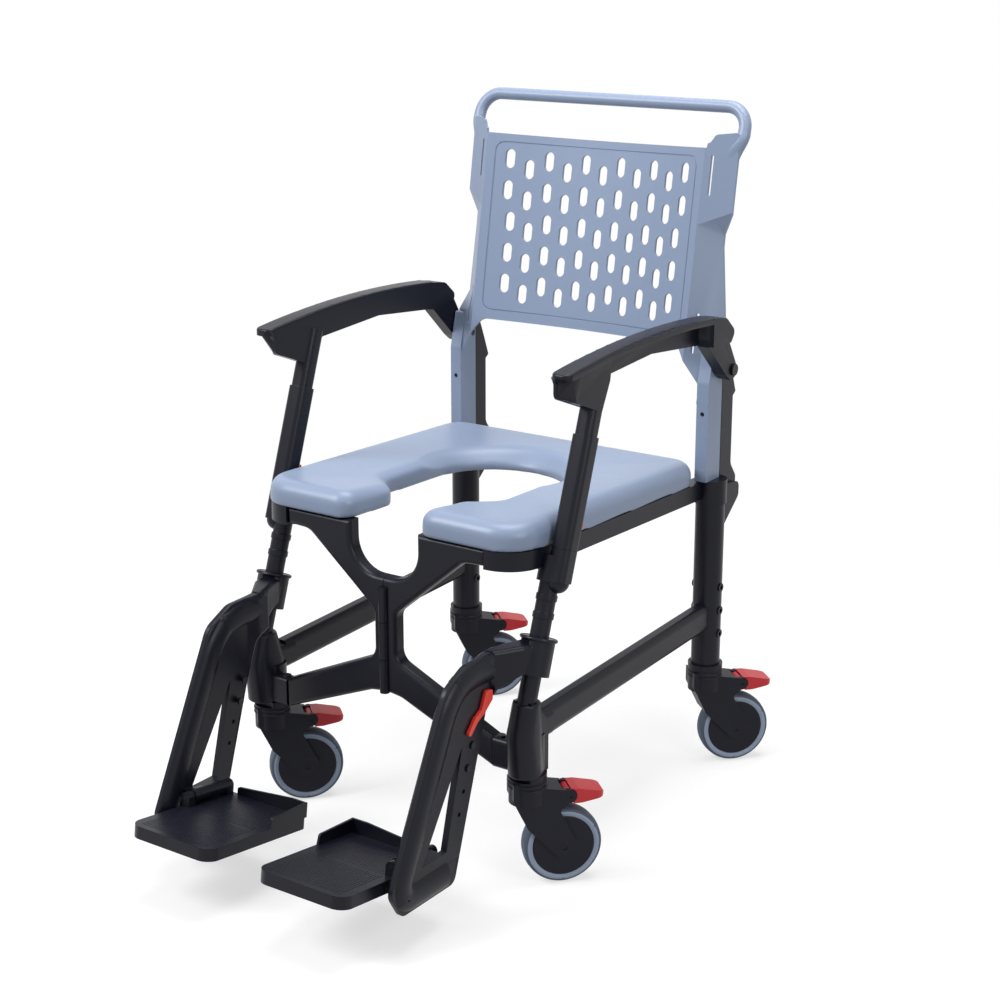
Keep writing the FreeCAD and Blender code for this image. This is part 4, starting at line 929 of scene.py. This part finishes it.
class CHAIR_OT_hangers(ChairOperator):
    """Build the swing-away hangers"""
    bl_idname = "chair.hangers"
    bl_label = "Hangers"

    def execute(self, context):
        sizes = context.scene.chair_sizes
        for side in SIDES:
            moulded_copy("footrest_bolts_" + side, "dark_steel", BOLT_EDGE)
            moulded_copy("hanger_release_" + side, "lever_plastic", LEVER_EDGE)
        recipe = cord_recipe()
        for side, sign in SIDES.items():
            for node in ("hanger_" + side, "footrest_loop_" + side):
                piece = copied(node, flatten_web)
                carved(piece, gap_cutter(sign))
                soften(piece, MOULDED_SHARP)
                settle(piece, body_of_node(node), "black_plastic", node)
            line = [(sign * HANGER_X, a - HALF_WHEELBASE, b + CASTER_TOP) for a, b in bent_line(RIM_CORNERS)]
            path = path_piece("hanger_rim_" + side, line, closed=False)
            rim = recipe.made(
                path, Radius=sizes.rim_r, Stretch=RIM_STRETCH, Finish=FINISHES["black_plastic"])
            soften(rim, TRIM_SHARP)
            settle(rim, body_of_node("hanger_" + side), "black_plastic")
        recipe = row_recipe("flanges", ("Radius", "Thickness"), hoop_shape)
        for side, sign in SIDES.items():
            flange = recipe.made(
                blank("hanger_flange_" + side), Radius=sizes.flange_r, Thickness=sizes.flange_thick,
                Count=1, Start=(0, 0, 0), Step=(0, 0, 0), Finish=FINISHES["black_plastic"])
            place = Matrix.Translation((sign * RING_TOP.x, RING_TOP.y, RING_TOP.z))
            finish_row(flange, body_of_node("hanger_" + side), "black_plastic",
                       place @ Matrix.Rotation(-LEG_LEAN, 4, "X"))
        return {"FINISHED"}


class CHAIR_OT_footplates(ChairOperator):
    """Build the footplates and their ribs"""
    bl_idname = "chair.footplates"
    bl_label = "Footplates"

    def execute(self, context):
        sizes = context.scene.chair_sizes
        for side in SIDES:
            moulded_copy("footplate_" + side, "black_plastic", 2 * sizes.edge)
            moulded_copy("footplate_rod_" + side, "dark_steel", ROD_EDGE)
        recipe = row_recipe("ribs", ("Radius", "Length"), rib_shape)
        across = -sizes.rib_pitch * (RIB_COUNT - 1) / 2
        tilt = Matrix.Rotation(-PLATE_PITCH, 4, "X")
        for side, sign in SIDES.items():
            place = Matrix.Translation(PLATE_REAR + Vector((sign * PLATE_MIDDLE_X, 0, 0))) @ tilt
            for row, gap in (("rear", RIB_REAR_GAP), ("front", RIB_FRONT_GAP + sizes.rib_length)):
                ribs = recipe.made(
                    blank("footplate_ribs_" + row + "_" + side), Radius=sizes.rib_r, Length=sizes.rib_length,
                    Start=(across, -gap - sizes.rib_length, -RIB_SINK * sizes.rib_r),
                    Step=(sizes.rib_pitch, 0, 0), Count=RIB_COUNT, Finish=FINISHES["black_plastic"])
                finish_row(ribs, body_of_node("footplate_" + side), "black_plastic", place)
        return {"FINISHED"}


def stem_place(corner):
    """Floor point under a caster's stem."""
    along, side = corner.split("_")
    x = HALF_TRACK if side == "right" else -HALF_TRACK
    y = HALF_WHEELBASE if along == "rear" else -HALF_WHEELBASE
    return Vector((x, y, 0))


class CHAIR_OT_casters(ChairOperator):
    """Build the braked casters"""
    bl_idname = "chair.casters"
    bl_label = "Casters"

    def execute(self, context):
        sizes = context.scene.chair_sizes
        for corner in CORNERS:
            moulded_copy("caster_fork_" + corner, "hub_plastic", sizes.edge)
            moulded_copy("wheel_axle_" + corner, "hub_plastic", BOLT_EDGE)
            moulded_copy("wheel_hub_" + corner, "hub_plastic", BOLT_EDGE)
            self.pale_side(moulded_copy("tyre_" + corner, "tyre_tread", 0), corner)
            self.dark_pin(moulded_copy("brake_pedal_" + corner, "pedal_plastic", PEDAL_EDGE), corner)
        recipe = row_recipe("hoops", ("Radius", "Thickness"), hoop_shape)
        for corner in CORNERS:
            start = stem_place(corner) + Vector((0, 0, CASTER_TOP - HOOP_DROP))
            hoops = recipe.made(
                blank("caster_hoops_" + corner), Radius=sizes.hoop_r, Thickness=sizes.hoop_thick,
                Start=start, Step=(0, 0, sizes.hoop_pitch), Count=2, Finish=FINISHES["hub_plastic"])
            finish_row(hoops, body_of_node("caster_fork_" + corner), "hub_plastic")
        return {"FINISHED"}

    def dark_pin(self, pedal, corner):
        """Show the ends of a pedal's pin in the fork's finish."""
        pedal.data.materials.append(FINISHES["hub_plastic"])
        for face in pedal.data.polygons:
            if abs((face.center - stem_place(corner)).dot(CASTER_AXLE)) > PIN_END:
                face.material_index = 1

    def pale_side(self, tyre, corner):
        """Give a tyre's flat sides their paler rubber."""
        trail = Vector((math.sin(CASTER_YAW), math.cos(CASTER_YAW), 0)) * CASTER_TRAIL
        centre = stem_place(corner) + trail + Vector((0, 0, WHEEL_R))
        tyre.data.materials.append(FINISHES["tyre_side"])
        for face in tyre.data.polygons:
            away = face.center - centre
            facing = abs(face.normal.dot(CASTER_AXLE))
            if facing > TYRE_SIDE_FACING and away.cross(CASTER_AXLE).length < TYRE_SIDE_R:
                face.material_index = 1


class CHAIR_OT_stage(ChairOperator):
    """Set the floor, the lamps and the camera"""
    bl_idname = "chair.stage"
    bl_label = "Stage"

    def execute(self, context):
        scene = context.scene
        self.make_floor(scene)
        self.make_sky(scene)
        self.make_lamps(scene)
        self.make_camera(scene)
        scene.view_settings.view_transform = "Standard"
        return {"FINISHED"}

    def make_floor(self, scene):
        """Pale floor that keeps the shadow near the chair and runs out to white."""
        mesh = bpy.data.meshes.new("floor")
        corners = [(x * FLOOR_REACH, y * FLOOR_REACH, 0) for x, y in ((-1, -1), (1, -1), (1, 1), (-1, 1))]
        mesh.from_pydata(corners, [], [(0, 1, 2, 3)])
        floor = linked("floor", mesh)
        finish = Finish("studio_floor")
        place = finish.node("ShaderNodeTexCoord", None, None, "Object")
        far = finish.node("ShaderNodeVectorMath", {"operation": "LENGTH"}, {0: place}, "Value")
        share = finish.node("ShaderNodeMapRange", {"interpolation_type": "SMOOTHSTEP"}, {
            "Value": far, "From Min": FLOOR_FADE[0], "From Max": FLOOR_FADE[1]}, "Result")
        paint = finish.node("ShaderNodeBsdfDiffuse", None, {
            "Color": tuple(scene.chair_colours.floor) + (1.0,)}, "BSDF")
        seen = finish.seen()
        lift = finish.node("ShaderNodeEmission", None, {
            "Color": (1, 1, 1, 1), "Strength": seen * FLOOR_LIFT}, "Emission")
        near = finish.node("ShaderNodeAddShader", None, {0: paint, 1: lift}, "Shader")
        level = scene.chair_stage.sky + seen * (1.0 - scene.chair_stage.sky)
        white = finish.node("ShaderNodeEmission", None, {
            "Color": (1, 1, 1, 1), "Strength": level}, "Emission")
        shader = finish.node("ShaderNodeMixShader", None, {0: share, 1: near, 2: white}, "Shader")
        mesh.materials.append(finish.surface(shader))

    def make_sky(self, scene):
        """Even light all round, white where the camera or a reflection sees it."""
        world = bpy.data.worlds.new("studio")
        scene.world = world
        world.use_nodes = True
        sheet = Sheet(world.node_tree)
        sky = scene.chair_stage.sky
        level = sky + sheet.seen() * (1.0 - sky)
        back = world.node_tree.nodes["Background"]
        back.inputs["Color"].default_value = (1, 1, 1, 1)
        world.node_tree.links.new(level.socket, back.inputs["Strength"])

    def make_lamps(self, scene):
        """Large soft lamps: key from the front left, top light and a weak fill."""
        # Name, place, aim, size in metres and power in watts
        lamps = (
            ("key", (-1.7, -2.4, 3.0), (0, 0, 0.6), 1.5, 105.0),
            ("top", (0.2, 0.3, 3.2), (0, 0, 0.4), 1.8, 70.0),
            ("fill", (2.9, -0.9, 1.8), (0, 0, 0.6), 1.3, 30.0))
        for name, place, target, size, power in lamps:
            data = bpy.data.lights.new(name, "AREA")
            data.shape = "SQUARE"
            data.size = size
            data.energy = power
            lamp = bpy.data.objects.new(name, data)
            lamp.location = place
            lamp.rotation_euler = (Vector(target) - Vector(place)).to_track_quat("-Z", "Y").to_euler()
            scene.collection.objects.link(lamp)

    def make_camera(self, scene):
        """Camera at the photograph's place and angle."""
        stage = scene.chair_stage
        turn = stage.azimuth
        rise = stage.elevation
        gaze = Vector((-math.sin(turn) * math.cos(rise), math.cos(turn) * math.cos(rise), -math.sin(rise)))
        data = bpy.data.cameras.new("camera")
        data.sensor_width = 36.0
        data.lens = stage.lens
        data.clip_end = 200.0
        camera = bpy.data.objects.new("camera", data)
        camera.location = stage.eye
        camera.rotation_euler = gaze.to_track_quat("-Z", "Y").to_euler()
        scene.collection.objects.link(camera)
        scene.camera = camera


STEPS = (
    CHAIR_OT_finishes, CHAIR_OT_seat, CHAIR_OT_backrest, CHAIR_OT_side_frames, CHAIR_OT_front_panels,
    CHAIR_OT_armrests, CHAIR_OT_hangers, CHAIR_OT_footplates, CHAIR_OT_casters, CHAIR_OT_stage)


class CHAIR_PT_panel(bpy.types.Panel):
    """Lists the chair's settings and the steps that build it"""
    bl_idname = "CHAIR_PT_panel"
    bl_label = "Shower commode chair"
    bl_space_type = "VIEW_3D"
    bl_region_type = "UI"
    bl_category = "Chair"

    def draw(self, context):
        for group in ("chair_colours", "chair_sizes", "chair_stage"):
            settings = getattr(context.scene, group)
            for key in settings.bl_rna.properties.keys():
                if key not in ("name", "rna_type"):
                    self.layout.prop(settings, key)
        for step in STEPS:
            self.layout.operator(step.bl_idname)


GROUPS = (("chair_colours", ChairColours), ("chair_sizes", ChairSizes), ("chair_stage", ChairStage))


def register():
    for name, group in GROUPS:
        bpy.utils.register_class(group)
        setattr(bpy.types.Scene, name, bpy.props.PointerProperty(type=group))
    for step in STEPS:
        bpy.utils.register_class(step)
    bpy.utils.register_class(CHAIR_PT_panel)


def unregister():
    bpy.utils.unregister_class(CHAIR_PT_panel)
    for step in reversed(STEPS):
        bpy.utils.unregister_class(step)
    for name, group in reversed(GROUPS):
        delattr(bpy.types.Scene, name)
        bpy.utils.unregister_class(group)


def main():
    register()
    for step in STEPS:
        area, name = step.bl_idname.split(".")
        getattr(getattr(bpy.ops, area), name)()


if __name__ == "__main__":
    main()
